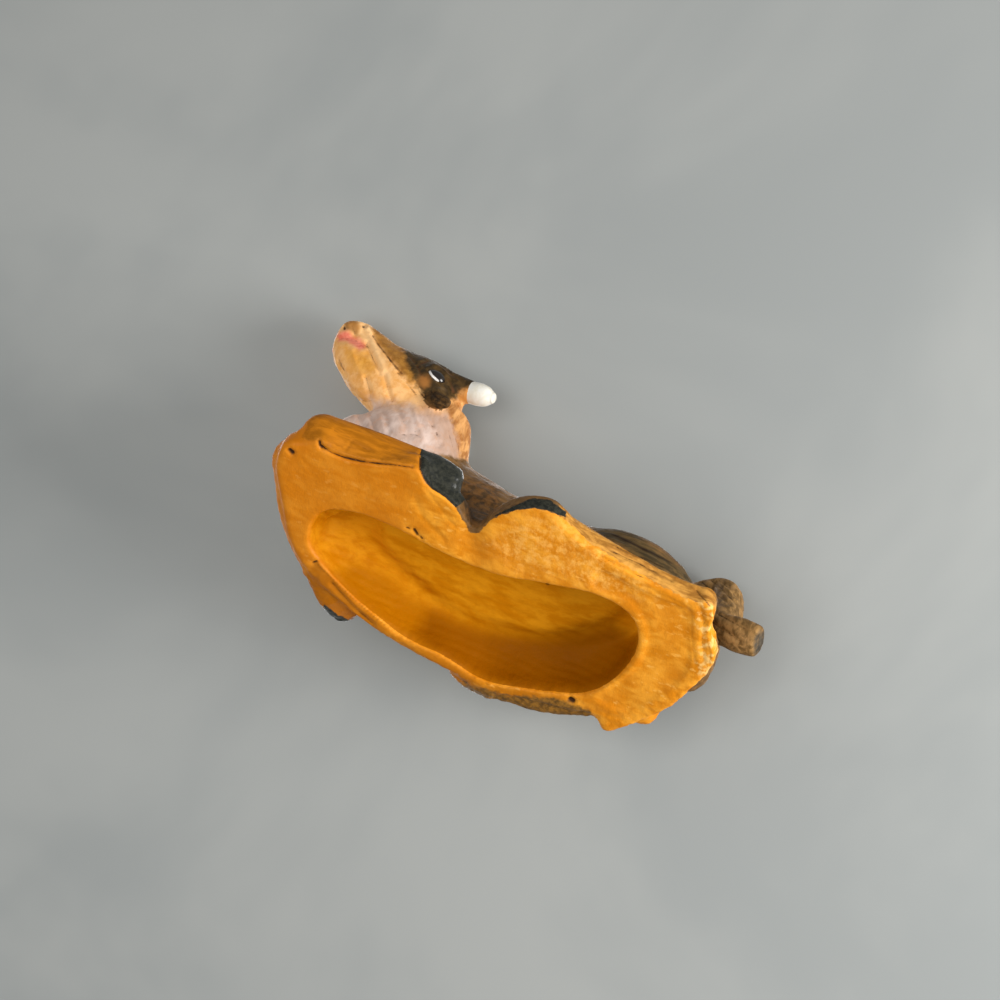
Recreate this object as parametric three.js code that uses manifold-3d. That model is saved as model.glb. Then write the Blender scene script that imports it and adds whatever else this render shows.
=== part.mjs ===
// Lying cow figurine, a hand-painted casting with limbs, horns, ears and tail set on it.
// Millimetres. The cow faces -Y, its left flank is +X and the flat underside lies at z = 0.
import * as THREE from "three";
import { mergeVertices } from "three/addons/utils/BufferGeometryUtils.js";
import Module from "manifold-3d";

// Driving dimensions of the body
const BODY_LENGTH = 102; // underside, front to rear
const FRONT_Y = -52; // front end of the underside
const BODY_AXIS_X = -10.5; // the spine lies this far to the right of the origin
const BARREL_WIDTH = 34; // torso across the belly
const BELLY_WIDTH = 38.8; // flanks spread on the ground
const BELLY_LENGTH = 88;
const BELLY_HEIGHT = 15; // spread flanks above the ground mass
const BACK_HEIGHT = 38; // hips above the ground
const WITHERS_HEIGHT = 40; // shoulders above the ground
const BASE_WIDTH = 48; // ground mass across both flanks, without its bumps
const BASE_THICKNESS = 4; // ground mass under belly and limbs
const BASE_EDGE_RADIUS = 1.4; // rounding of the ground mass, outside its flat face
const LIMB_LEVEL = 1.2; // lower side of the limbs, sunk in the ground mass

// Hollow in the underside
const HOLLOW_DEPTH = 10;
const HOLLOW_ROUNDING = 6.4; // height of its rounded corners under the roof
const HOLLOW_INSET = 5.4; // how much smaller its roof is than its rim, all round
const HOLLOW_LEAN = 2.6; // its roof lies this much closer to the left flank
const HOLLOW_WALL = 2; // least wall between the hollow and a limb's socket

// Limbs: spreads are distances from the spine
const FORELEG_THICKNESS = 10.4;
const FOREARM_THICKNESS = 11;
const FORELEG_SPREAD = 0.995 * (BASE_WIDTH / 2);
const RIGHT_KNEE_SPREAD = 0.64 * (BASE_WIDTH / 2);
const RIGHT_FETLOCK_SPREAD = 0.59 * (BASE_WIDTH / 2);
const RIGHT_TOE_SPREAD = 0.74 * (BASE_WIDTH / 2);
const ELBOW_SPREAD = 0.56 * (BASE_WIDTH / 2);
const SHOULDER_SPREAD = 0.5 * (BASE_WIDTH / 2);
const RIGHT_ELBOW_SPREAD = 0.21 * (BASE_WIDTH / 2);
const SHANK_THICKNESS = 8.6;
const HIND_FOOT_SPREAD = 1.02 * (BASE_WIDTH / 2);
const HOCK_SPREAD = 0.73 * (BASE_WIDTH / 2);
const RIGHT_TUCK = 0.25 * (BASE_WIDTH / 2); // the right hind leg lies this much closer to the spine
const HAUNCH_LENGTH = 33;
const HAUNCH_HEIGHT = 27.4;
const HAUNCH_WIDTH = 19.2;
const HAUNCH_SPREAD = 0.46 * (BASE_WIDTH / 2);
const HOOF_LENGTH = 9;
const HOOF_WIDTH = 10;
const LIMB_JOINT_SPREAD = 9; // flat joint face of a limb
const ELBOW_HEIGHT = 0.275 * WITHERS_HEIGHT;
const SHOULDER_JOINT_HEIGHT = 0.44 * WITHERS_HEIGHT;

// Neck and head
const NECK_DEPTH = 25; // fore and aft, under the throat
const NECK_WIDTH = 17;
const HEAD_LENGTH = 36;
const HEAD_WIDTH = 17.5;
const HEAD_DEPTH = 22; // forehead to jaw
const HEAD_RISE = 10; // middle of the skull above the shoulders
const HEAD_Y = -30; // middle of the skull
const HEAD_X = 1.5;
const HEAD_TURN = 4; // degrees towards the left flank
const HEAD_LIFT = 18; // degrees, muzzle up
const EYE_DIAMETER = 3.4;
const EAR_LENGTH = 7;
const EAR_WIDTH = 5.2;
const EAR_THICKNESS = 3;
const HORN_LENGTH = 6.6;
const HORN_DIAMETER = 5.2;
const HORN_BOSS_LENGTH = 5;

// Tail
const TAIL_DIAMETER = 8.4;
const TAIL_SPREAD = 0.5 * (BASE_WIDTH / 2); // lower end, from the spine to the left
const TUFT_LENGTH = 10;
const TUFT_DIAMETER = 7.4;

// Pegs and wires inside
const DOWEL_DIAMETER = 3;
const DOWEL_DEPTH = 8; // how far it enters the body and the head
const WIRE_DIAMETER = 1.4;
const WIRE_GRIP = 4; // how far a wire enters what it carries
const BORE_CLEARANCE = 0.3;
const SEAM = 0.3; // gap between pieces that are set against each other

const wasm = await Module();
wasm.setup();

const DEGREES = Math.PI / 180;
const UP = new THREE.Vector3(0, 0, 1);

const v3 = (x, y, z) => new THREE.Vector3(x, y, z);

// Place on the body: share of the length from the front, distance from the spine to the left, height
const onBody = (along, left, height) => v3(BODY_AXIS_X + left, FRONT_Y + along * BODY_LENGTH, height);

function toSolid(geometry) {
  const bare = geometry.clone();
  bare.deleteAttribute("normal");
  bare.deleteAttribute("uv");
  const merged = mergeVertices(bare, 1e-5);
  const mesh = new wasm.Mesh({
    numProp: 3,
    vertProperties: new Float32Array(merged.attributes.position.array),
    triVerts: new Uint32Array(merged.index.array),
  });
  return new wasm.Manifold(mesh);
}

function toGeometry(solid) {
  const mesh = solid.getMesh();
  const geometry = new THREE.BufferGeometry();
  geometry.setAttribute("position", new THREE.BufferAttribute(new Float32Array(mesh.vertProperties), 3));
  geometry.setIndex(new THREE.BufferAttribute(new Uint32Array(mesh.triVerts), 1));
  geometry.computeVertexNormals();
  return geometry;
}

// Swelling tube through stations { at, wide, tall, pear }: half sizes across and upright, and how much
// wider the lower side is than the upper. Both ends are rounded.
function swellingTube(stations, { rings = 7, sides = 10, upright = UP, round = 0.7, grow = 0 } = {}) {
  const spine = new THREE.CatmullRomCurve3(stations.map((s) => s.at), false, "centripetal");
  const sizes = new THREE.CatmullRomCurve3(
    stations.map((s) => v3(s.wide, s.tall, s.pear ?? 0)), false, "catmullrom");
  const capRings = 2;
  const positions = [];
  const frameAt = (u) => {
    const along = spine.getTangent(u);
    const across = new THREE.Vector3().crossVectors(upright, along).normalize();
    const top = new THREE.Vector3().crossVectors(along, across).normalize();
    return { centre: spine.getPoint(u), size: sizes.getPoint(u), along, across, top };
  };
  const addRing = ({ centre, size, along, across, top }, shrink, advance) => {
    for (let i = 0; i < sides; i += 1) {
      const angle = (2 * Math.PI * i) / sides;
      const wide = (size.x + grow) * shrink * (1 - size.z * Math.sin(angle));
      const tall = (size.y + grow) * shrink;
      const point = centre.clone()
        .addScaledVector(across, wide * Math.cos(angle))
        .addScaledVector(top, tall * Math.sin(angle))
        .addScaledVector(along, advance);
      positions.push(point.x, point.y, point.z);
    }
  };
  const capReach = (size) => Math.min(size.x, size.y) * round + grow;
  const first = frameAt(0);
  const last = frameAt(1);
  for (let k = 1; k <= capRings; k += 1) {
    const angle = (k / (capRings + 1)) * (Math.PI / 2);
    addRing(first, Math.sin(angle), -capReach(first.size) * Math.cos(angle));
  }
  for (let k = 0; k <= rings; k += 1) addRing(frameAt(k / rings), 1, 0);
  for (let k = capRings; k >= 1; k -= 1) {
    const angle = (k / (capRings + 1)) * (Math.PI / 2);
    addRing(last, Math.sin(angle), capReach(last.size) * Math.cos(angle));
  }
  const ringCount = positions.length / 3 / sides;
  for (const [frame, direction] of [[first, -1], [last, 1]]) {
    const pole = frame.centre.clone().addScaledVector(frame.along, direction * capReach(frame.size));
    positions.push(pole.x, pole.y, pole.z);
  }
  const startPole = ringCount * sides;
  const endPole = startPole + 1;
  const index = [];
  for (let i = 0; i < sides; i += 1) {
    const next = (i + 1) % sides;
    index.push(startPole, next, i);
    const base = (ringCount - 1) * sides;
    index.push(endPole, base + i, base + next);
    for (let k = 0; k < ringCount - 1; k += 1) {
      const a = k * sides + i;
      const b = k * sides + next;
      index.push(a, b, a + sides, b, b + sides, a + sides);
    }
  }
  const geometry = new THREE.BufferGeometry();
  geometry.setAttribute("position", new THREE.Float32BufferAttribute(positions, 3));
  geometry.setIndex(index);
  return geometry;
}

const tube = (stations, options) => toSolid(swellingTube(stations, options));

function ellipsoid(centre, half, { grow = 0, sides = 16 } = {}) {
  const geometry = new THREE.SphereGeometry(1, sides, Math.round(sides * 0.6));
  geometry.scale(half.x + grow, half.y + grow, half.z + grow);
  geometry.translate(centre.x, centre.y, centre.z);
  return toSolid(geometry);
}

function box(low, high) {
  const geometry = new THREE.BoxGeometry(high.x - low.x, high.y - low.y, high.z - low.z);
  geometry.translate((low.x + high.x) / 2, (low.y + high.y) / 2, (low.z + high.z) / 2);
  return toSolid(geometry);
}

function rod(from, to, diameter, sides = 12) {
  const along = new THREE.Vector3().subVectors(to, from);
  const geometry = new THREE.CylinderGeometry(diameter / 2, diameter / 2, along.length(), sides);
  const turn = new THREE.Quaternion().setFromUnitVectors(v3(0, 1, 0), along.clone().normalize());
  geometry.applyQuaternion(turn);
  const middle = new THREE.Vector3().addVectors(from, to).multiplyScalar(0.5);
  geometry.translate(middle.x, middle.y, middle.z);
  return toSolid(geometry);
}

function moved(solid, matrix) {
  const geometry = toGeometry(solid);
  geometry.applyMatrix4(matrix);
  return toSolid(geometry);
}

const FAR = 4 * BODY_LENGTH;
const underground = box(v3(-FAR, -FAR, -FAR), v3(FAR, FAR, 0));

// Torso: shares of the length from the front, then of half the width and of the heights
const HALF_BARREL = BARREL_WIDTH / 2;
const TORSO = [
  { along: 0.1, left: 0.235, width: 0.42, top: 0.52, low: 0.14, of: WITHERS_HEIGHT },
  { along: 0.2, left: 0.118, width: 0.8, top: 0.82, low: 0.02, of: WITHERS_HEIGHT },
  { along: 0.33, left: 0, width: 0.98, top: 1, low: -0.02, of: WITHERS_HEIGHT },
  { along: 0.47, left: 0, width: 1, top: 0.94, low: -0.02, of: BACK_HEIGHT },
  { along: 0.62, left: 0, width: 0.98, top: 0.93, low: -0.02, of: BACK_HEIGHT },
  { along: 0.77, left: 0, width: 0.98, top: 1, low: -0.02, of: BACK_HEIGHT },
  { along: 0.89, left: 0, width: 0.86, top: 0.99, low: 0, of: BACK_HEIGHT },
  { along: 0.96, left: 0, width: 0.5, top: 0.9, low: 0.16, of: BACK_HEIGHT },
];

function torso(grow = 0) {
  const stations = TORSO.map(({ along, left, width, top, low, of }) => ({
    at: onBody(along, left * HALF_BARREL, ((top + low) / 2) * of),
    wide: width * HALF_BARREL,
    tall: ((top - low) / 2) * of,
    pear: 0.14,
  }));
  const belly = ellipsoid(
    onBody(0.54, 0.015 * BELLY_WIDTH, BASE_THICKNESS),
    v3(BELLY_WIDTH / 2, BELLY_LENGTH / 2, BELLY_HEIGHT), { grow, sides: 24 });
  return tube(stations, { rings: 14, sides: 18, grow }).add(belly);
}

// Outlines on the ground, in shares of the length from the front and of half the base width to the left
const BASE_OUTLINE = [
  [0.094, 1.1], [0.119, 1.03], [0.15, 1.04], [0.279, 1.21], [0.3, 1.2], [0.337, 1.1], [0.396, 1.01],
  [0.439, 0.83], [0.467, 1.01], [0.509, 1.23], [0.544, 1.31], [0.574, 1.33], [0.67, 1.13], [0.881, 1.02],
  [0.932, 1.08], [0.949, 1.04], [0.961, 0.78], [0.991, 0.59], [0.997, 0.46], [0.991, 0.27],
  [0.958, -0.12], [0.882, -0.63], [0.861, -0.72], [0.806, -0.6], [0.776, -0.58], [0.611, -0.78],
  [0.539, -0.79], [0.462, -0.69], [0.386, -0.67], [0.154, -0.34], [0.119, -0.24], [0.089, -0.06],
  [0.02, 0.62], [0.02, 0.88], [0.05, 0.98],
];
const HOLLOW_OUTLINE = [
  [0.155, -0.15], [0.244, -0.39], [0.386, -0.62], [0.461, -0.64], [0.545, -0.72], [0.6, -0.73],
  [0.698, -0.58], [0.768, -0.45], [0.814, -0.25], [0.838, -0.05], [0.848, 0.16], [0.845, 0.34], [0.832, 0.5],
  [0.806, 0.62], [0.766, 0.69], [0.698, 0.68], [0.549, 0.51], [0.463, 0.47], [0.302, 0.53], [0.217, 0.53],
  [0.15, 0.45], [0.126, 0.34], [0.117, 0.18], [0.125, -0.01],
];

function outlineShape(outline) {
  const rim = outline.map(([along, left]) => onBody(along, (left * BASE_WIDTH) / 2, 0));
  return new THREE.Shape(rim.map((p) => new THREE.Vector2(p.x, p.y)));
}

function groundMass(grow = 0) {
  const geometry = new THREE.ExtrudeGeometry(outlineShape(BASE_OUTLINE), {
    depth: BASE_THICKNESS - 2 * BASE_EDGE_RADIUS + 2 * grow,
    bevelEnabled: true,
    bevelThickness: BASE_EDGE_RADIUS,
    bevelSize: BASE_EDGE_RADIUS,
    bevelOffset: grow,
    bevelSegments: 1,
  });
  geometry.translate(0, 0, BASE_EDGE_RADIUS - grow);
  return toSolid(geometry);
}

// The hollow stands on its rim; its walls round over into a flat roof that leans to the left
function hollow(grow = 0) {
  const below = HOLLOW_DEPTH;
  const geometry = new THREE.ExtrudeGeometry(outlineShape(HOLLOW_OUTLINE), {
    depth: below + HOLLOW_DEPTH - 2 * HOLLOW_ROUNDING + grow,
    bevelEnabled: true,
    bevelThickness: HOLLOW_ROUNDING,
    bevelSize: HOLLOW_INSET,
    bevelOffset: grow - HOLLOW_INSET,
    bevelSegments: 3,
  });
  geometry.translate(0, 0, HOLLOW_ROUNDING - below);
  const place = geometry.attributes.position;
  for (let i = 0; i < place.count; i += 1) {
    const share = Math.max(place.getZ(i), 0) / HOLLOW_DEPTH;
    place.setX(i, place.getX(i) + HOLLOW_LEAN * share);
  }
  return toSolid(geometry);
}

// Limbs: each maker returns the limb, grown by the given amount, with its flat joint face
const leftOf = (x) => box(v3(x, -FAR, -FAR), v3(FAR, FAR, FAR));
const rightOf = (x) => box(v3(-FAR, -FAR, -FAR), v3(x, FAR, FAR));
const keepOut = (grow) => hollow(HOLLOW_WALL - grow);

function outsideJoint(side, grow) {
  const x = BODY_AXIS_X + side * (LIMB_JOINT_SPREAD - grow);
  return side > 0 ? leftOf(x) : rightOf(x);
}

const HALF_LEG = FORELEG_THICKNESS / 2;
const HALF_ARM = FOREARM_THICKNESS / 2;
const HALF_SHANK = SHANK_THICKNESS / 2;
const HALF_HOOF = HOOF_WIDTH / 2;
const LEG_LEVEL = LIMB_LEVEL + HALF_LEG; // middle of a foreleg that lies on the ground
const SHANK_LEVEL = LIMB_LEVEL + HALF_SHANK;
const HOOF_SHARE = HOOF_LENGTH / BODY_LENGTH;

function hoof([from, to], grow = 0) {
  const middle = new THREE.Vector3().lerpVectors(from, to, 0.5);
  return tube([
    { at: from, wide: HALF_HOOF * 0.94, tall: HALF_HOOF * 0.94 },
    { at: middle, wide: HALF_HOOF, tall: HALF_HOOF * 0.98 },
    { at: to, wide: HALF_HOOF * 0.84, tall: HALF_HOOF * 0.8 },
  ], { rings: 4, sides: 10, grow, round: 0.45 });
}

// Each foot runs from its fetlock to its toe
const FOOT = {
  left_fore: [
    onBody(0.28, 1.01 * FORELEG_SPREAD, LEG_LEVEL),
    onBody(0.28 + HOOF_SHARE, 0.99 * FORELEG_SPREAD, LEG_LEVEL),
  ],
  right_fore: [
    onBody(0.2, -RIGHT_FETLOCK_SPREAD, LEG_LEVEL),
    onBody(0.245, -RIGHT_TOE_SPREAD, LEG_LEVEL),
  ],
  left_hind: hindFoot(1),
  right_hind: hindFoot(-1),
};

function tuckOf(side) {
  return side < 0 ? RIGHT_TUCK : 0;
}

function footSpread(side) {
  return HIND_FOOT_SPREAD - 0.75 * tuckOf(side);
}

function hindFoot(side) {
  const spread = footSpread(side);
  const toe = onBody(0.6 - HOOF_SHARE, side * 0.96 * spread, 1.1 * SHANK_LEVEL);
  return [onBody(0.6, side * spread, SHANK_LEVEL), toe];
}

function foreleg(knee, bend, fetlock, elbow, shoulder, grow) {
  const shin = tube([
    { at: knee, wide: HALF_LEG, tall: HALF_LEG },
    { at: bend, wide: HALF_LEG * 0.95, tall: HALF_LEG * 0.95 },
    { at: fetlock, wide: HALF_LEG * 0.92, tall: HALF_LEG * 0.94 },
  ], { grow });
  const bentKnee = knee.clone().add(v3(-0.35, 0.8, 0.35).multiplyScalar(HALF_LEG));
  const arm = tube([
    { at: bentKnee, wide: HALF_ARM * 0.75, tall: HALF_ARM * 0.75 },
    { at: elbow, wide: HALF_ARM, tall: HALF_ARM },
    { at: shoulder, wide: HALF_ARM, tall: HALF_ARM * 1.5 },
  ], { grow });
  return shin.add(arm);
}

function leftForeleg(grow = 0) {
  const knee = onBody(0.081, 0.97 * FORELEG_SPREAD, 0.94 * LEG_LEVEL);
  const bend = onBody(0.183, FORELEG_SPREAD, LEG_LEVEL);
  const elbow = onBody(0.21, ELBOW_SPREAD, ELBOW_HEIGHT);
  const shoulder = onBody(0.33, SHOULDER_SPREAD, SHOULDER_JOINT_HEIGHT);
  return foreleg(knee, bend, FOOT.left_fore[0], elbow, shoulder, grow)
    .intersect(outsideJoint(1, grow)).subtract(keepOut(grow));
}

function rightForeleg(grow = 0) {
  const knee = onBody(0.04, RIGHT_KNEE_SPREAD, 0.94 * LEG_LEVEL);
  const bend = onBody(0.095, 0, LEG_LEVEL);
  const elbow = onBody(0.17, -RIGHT_ELBOW_SPREAD, ELBOW_HEIGHT);
  const shoulder = onBody(0.31, -SHOULDER_SPREAD, SHOULDER_JOINT_HEIGHT);
  return foreleg(knee, bend, FOOT.right_fore[0], elbow, shoulder, grow)
    .subtract(leftForeleg(SEAM - grow)).subtract(keepOut(grow));
}

function hindLeg(side, grow = 0) {
  const middle = onBody(0.77, side * HAUNCH_SPREAD, 0.54 * HAUNCH_HEIGHT);
  const haunch = ellipsoid(
    middle, v3(HAUNCH_WIDTH / 2, HAUNCH_LENGTH / 2, HAUNCH_HEIGHT / 2), { grow });
  const hock = HOCK_SPREAD - tuckOf(side);
  const foot = footSpread(side);
  const half = HALF_SHANK;
  const shank = tube([
    { at: onBody(0.92, side * hock, SHANK_LEVEL * 1.35), wide: half, tall: half * 1.1 },
    { at: onBody(0.84, side * 1.09 * hock, SHANK_LEVEL * 1.1), wide: half, tall: half * 1.05 },
    { at: onBody(0.72, side * 0.9 * foot, SHANK_LEVEL), wide: half * 0.95, tall: half },
    { at: hindFoot(side)[0], wide: half * 0.95, tall: half },
  ], { rings: 9, grow });
  return haunch.add(shank).intersect(outsideJoint(side, grow)).subtract(keepOut(grow));
}

const LEG = {
  left_fore: leftForeleg,
  right_fore: rightForeleg,
  left_hind: (grow) => hindLeg(1, grow),
  right_hind: (grow) => hindLeg(-1, grow),
};

// Neck: stands on the shoulders and carries the head
const headHeight = WITHERS_HEIGHT + HEAD_RISE;
const headPlace = v3(HEAD_X, HEAD_Y, headHeight);
const neckFoot = onBody(0.19, 0.118 * NECK_WIDTH, WITHERS_HEIGHT * 0.5);

// Stations of the neck: share of the way up to the head, offset from the straight line to the left and
// rear and half sizes, all in shares of the neck's width and depth
const NECK = [
  { up: 0, left: 0.14, back: 0.06, wide: 0.64, tall: 0.64 },
  { up: 0.33, left: 0.16, back: 0.08, wide: 0.56, tall: 0.6 },
  { up: 0.6, left: 0.08, back: 0.1, wide: 0.48, tall: 0.51 },
  { up: 0.88, left: 0.02, back: 0.09, wide: 0.42, tall: 0.39 },
];

function neckSolid(grow = 0) {
  const stations = NECK.map(({ up, left, back, wide, tall }) => ({
    at: new THREE.Vector3().lerpVectors(neckFoot, headPlace, up)
      .add(v3(left * NECK_WIDTH, back * NECK_DEPTH, 0)),
    wide: wide * NECK_WIDTH,
    tall: tall * NECK_DEPTH,
  }));
  return tube(stations, { rings: 8, sides: 18, upright: v3(0, 1, 0), grow, round: 0.4 });
}

// Head, in its own frame: muzzle towards -Y, left side +X, origin in the middle of the skull
const headTurn = new THREE.Euler(-HEAD_LIFT * DEGREES, 0, HEAD_TURN * DEGREES, "ZXY");
const headFrame = new THREE.Matrix4()
  .compose(headPlace, new THREE.Quaternion().setFromEuler(headTurn), v3(1, 1, 1));

const SKULL = [
  { forward: -0.17, top: 0.24, low: -0.16, width: 0.56 },
  { forward: -0.06, top: 0.42, low: -0.46, width: 0.9 },
  { forward: 0.08, top: 0.45, low: -0.56, width: 1 },
  { forward: 0.28, top: 0.43, low: -0.58, width: 0.88 },
  { forward: 0.48, top: 0.38, low: -0.48, width: 0.7 },
  { forward: 0.62, top: 0.36, low: -0.36, width: 0.64 },
  { forward: 0.71, top: 0.28, low: -0.2, width: 0.58 },
];

function skull(grow = 0) {
  const stations = SKULL.map(({ forward, top, low, width }) => ({
    at: v3(0, -forward * HEAD_LENGTH, ((top + low) / 2) * HEAD_DEPTH),
    wide: (width * HEAD_WIDTH) / 2,
    tall: ((top - low) / 2) * HEAD_DEPTH,
    pear: -0.06,
  }));
  return tube(stations, { rings: 11, sides: 14, grow, round: 0.5 });
}

const HORN_ROOT = v3(HEAD_WIDTH * 0.27, HEAD_LENGTH * 0.022, HEAD_DEPTH * 0.15);
const HORN_DIRECTION = v3(0.34, 0.93, 0.08).normalize(); // swept back
const mirrored = (p, side) => v3(side * p.x, p.y, p.z);

function hornPoint(side, distance) {
  return mirrored(HORN_ROOT.clone().addScaledVector(HORN_DIRECTION, distance), side);
}

function hornBoss(side, grow = 0) {
  const half = HORN_DIAMETER / 2;
  return tube([
    { at: hornPoint(side, -HORN_BOSS_LENGTH * 0.4), wide: half * 1.35, tall: half * 1.35 },
    { at: hornPoint(side, HORN_BOSS_LENGTH * 0.5), wide: half * 1.1, tall: half * 1.1 },
    { at: hornPoint(side, HORN_BOSS_LENGTH), wide: half * 0.98, tall: half * 0.98 },
  ], { rings: 3, grow, round: 0.05 });
}

function horn(side) {
  const half = HORN_DIAMETER / 2;
  const root = HORN_BOSS_LENGTH + 0.05 * half + SEAM;
  return tube([
    { at: hornPoint(side, root + 0.05 * half), wide: half, tall: half },
    { at: hornPoint(side, root + HORN_LENGTH * 0.45), wide: half * 0.98, tall: half * 0.98 },
    { at: hornPoint(side, root + HORN_LENGTH * 0.8), wide: half * 0.74, tall: half * 0.74 },
  ], { rings: 4, round: 0.05 });
}

function ear(side, grow = 0) {
  const root = v3(HEAD_WIDTH * 0.34, HEAD_LENGTH * 0.05, -HEAD_DEPTH * 0.27);
  const out = v3(0.42, 0.82, -0.39).normalize();
  const at = (share) => mirrored(root.clone().addScaledVector(out, share * EAR_LENGTH), side);
  const half = EAR_THICKNESS / 2;
  return tube([
    { at: at(0), wide: EAR_WIDTH * 0.28, tall: half },
    { at: at(0.45), wide: EAR_WIDTH * 0.5, tall: half },
    { at: at(0.8), wide: EAR_WIDTH * 0.4, tall: half * 0.75 },
    { at: at(1), wide: EAR_WIDTH * 0.14, tall: half * 0.5 },
  ], { rings: 5, sides: 8, upright: v3(side, -0.5, 0.3).normalize(), grow, round: 0.5 });
}

function eye(side, grow = 0) {
  const centre = mirrored(v3(HEAD_WIDTH * 0.45, -HEAD_LENGTH * 0.045, -HEAD_DEPTH * 0.05), side);
  const half = EYE_DIAMETER / 2;
  return ellipsoid(centre, v3(half, half, half), { grow, sides: 12 });
}

function hornWire(side, clearance = 0) {
  const middle = HORN_BOSS_LENGTH;
  const ends = [middle - WIRE_GRIP - clearance, middle + WIRE_GRIP + clearance];
  return rod(hornPoint(side, ends[0]), hornPoint(side, ends[1]), WIRE_DIAMETER + 2 * clearance, 8);
}

// Neck dowel: enters the shoulders below the neck and the skull above it
const neckAt = (height) => {
  const share = (height - neckFoot.z) / (headPlace.z - neckFoot.z);
  return new THREE.Vector3().lerpVectors(neckFoot, headPlace, share);
};

function neckDowel(clearance = 0) {
  const low = neckAt(WITHERS_HEIGHT * 0.94 - DOWEL_DEPTH - clearance);
  const high = neckAt(headHeight - HEAD_DEPTH / 2 + DOWEL_DEPTH + clearance);
  return rod(low, high, DOWEL_DIAMETER + 2 * clearance);
}

// Tail: arches over the rump, hangs behind it and ends in a blunt tuft
const TAIL_ROOT = onBody(0.94, 0.21 * TAIL_SPREAD, BACK_HEIGHT * 0.8);
const TAIL_ARCH = onBody(0.992, 0.42 * TAIL_SPREAD, BACK_HEIGHT * 0.86);
const TAIL_BEND = onBody(1, 0.67 * TAIL_SPREAD, BACK_HEIGHT * 0.6);
const TAIL_END = onBody(0.99, TAIL_SPREAD, BACK_HEIGHT * 0.32);
const TUFT_DIRECTION = v3(0.3, 0.9, -0.3).normalize();

function tail(grow = 0) {
  const half = TAIL_DIAMETER / 2;
  return tube([
    { at: TAIL_ROOT, wide: half * 1.05, tall: half },
    { at: TAIL_ARCH, wide: half, tall: half },
    { at: TAIL_BEND, wide: half * 1.05, tall: half * 0.95 },
    { at: TAIL_END, wide: half * 0.86, tall: half * 0.8 },
  ], { rings: 9, upright: v3(1, 0, 0), grow });
}

function tuft(grow = 0) {
  const half = TUFT_DIAMETER / 2;
  const at = (share) => TAIL_END.clone().addScaledVector(TUFT_DIRECTION, share * TUFT_LENGTH);
  return tube([
    { at: at(0), wide: half * 0.9, tall: half * 0.9 },
    { at: at(0.5), wide: half * 1.05, tall: half },
    { at: at(0.95), wide: half * 0.95, tall: half * 0.85 },
  ], { rings: 4, grow, round: 0.08 });
}

function tailWire(clearance = 0) {
  const into = new THREE.Vector3().subVectors(TAIL_ROOT, TAIL_ARCH).normalize();
  const inside = TAIL_ROOT.clone().addScaledVector(into, WIRE_GRIP + clearance);
  const outside = TAIL_ARCH.clone().addScaledVector(into, -clearance);
  return rod(inside, outside, WIRE_DIAMETER + 2 * clearance, 8);
}

// Pieces, each cut by what it is set against
const SIDES = [["left", 1], ["right", -1]];
const cut = (solid, ...tools) => tools.reduce((rest, tool) => rest.subtract(tool), solid);
const colours = {
  body: 0xc88a32,
  hair: 0x6e4c2a,
  head: 0xb8803c,
  dewlap: 0xd8c4b6,
  hoof: 0x2a2e2b,
  horn: 0xf7f1df,
  eye: 0x101010,
  wood: 0xb98f5c,
  wire: 0x8f9296,
};

function piece(name, solid, colour, roughness = 0.6, metalness = 0) {
  const material = new THREE.MeshStandardMaterial({ color: colours[colour], roughness, metalness });
  const mesh = new THREE.Mesh(toGeometry(solid), material);
  mesh.name = name;
  return mesh;
}

const cow = new THREE.Group();
const headGroup = new THREE.Group();
headGroup.applyMatrix4(headFrame);
cow.add(headGroup);

const headInverse = headFrame.clone().invert();
const onBothSides = (solid, make, grow) => {
  return SIDES.reduce((mass, [, side]) => mass.add(make(side, grow)), solid);
};
const headMass = (grow) => onBothSides(skull(grow), hornBoss, grow);
const earsAndHead = onBothSides(headMass(SEAM), ear, SEAM);
const headInPlace = moved(earsAndHead, headFrame);

let body = cut(torso().add(groundMass()), underground);
let neck = cut(neckSolid(), torso(SEAM), groundMass(SEAM), headInPlace);
let tailPiece = cut(tail(), torso(SEAM), tailWire(BORE_CLEARANCE));
for (const [name, foot] of Object.entries(FOOT)) {
  const clearHoof = (grow) => hoof(foot, grow).subtract(keepOut(grow));
  const grownHoof = clearHoof(SEAM);
  const grownLeg = LEG[name](SEAM);
  const ground = groundMass(SEAM);
  const legName = name.endsWith("fore") ? `${name}leg` : `${name}_leg`;
  cow.add(piece(legName, cut(LEG[name](0), grownHoof, ground, underground), "hair"));
  cow.add(piece(`${name}_hoof`, cut(clearHoof(0), ground, underground), "hoof", 0.35));
  body = cut(body, cut(grownHoof, groundMass()), cut(grownLeg, groundMass()));
  neck = cut(neck, grownHoof, grownLeg);
  tailPiece = cut(tailPiece, grownLeg);
}
body = cut(body, hollow(), neckDowel(BORE_CLEARANCE), tailWire(BORE_CLEARANCE));
cow.add(piece("body_casting", body, "body"));
cow.add(piece("neck", cut(neck, neckDowel(BORE_CLEARANCE)), "dewlap"));
cow.add(piece("neck_dowel", neckDowel(), "wood", 0.7));
cow.add(piece("tail", tailPiece, "hair"));
const besideTuft = [tail(SEAM), torso(SEAM), hindLeg(1, SEAM), groundMass(SEAM)];
cow.add(piece("tail_tuft", cut(tuft(), ...besideTuft), "hair"));
cow.add(piece("tail_wire", tailWire(), "wire", 0.4, 1));

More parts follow.
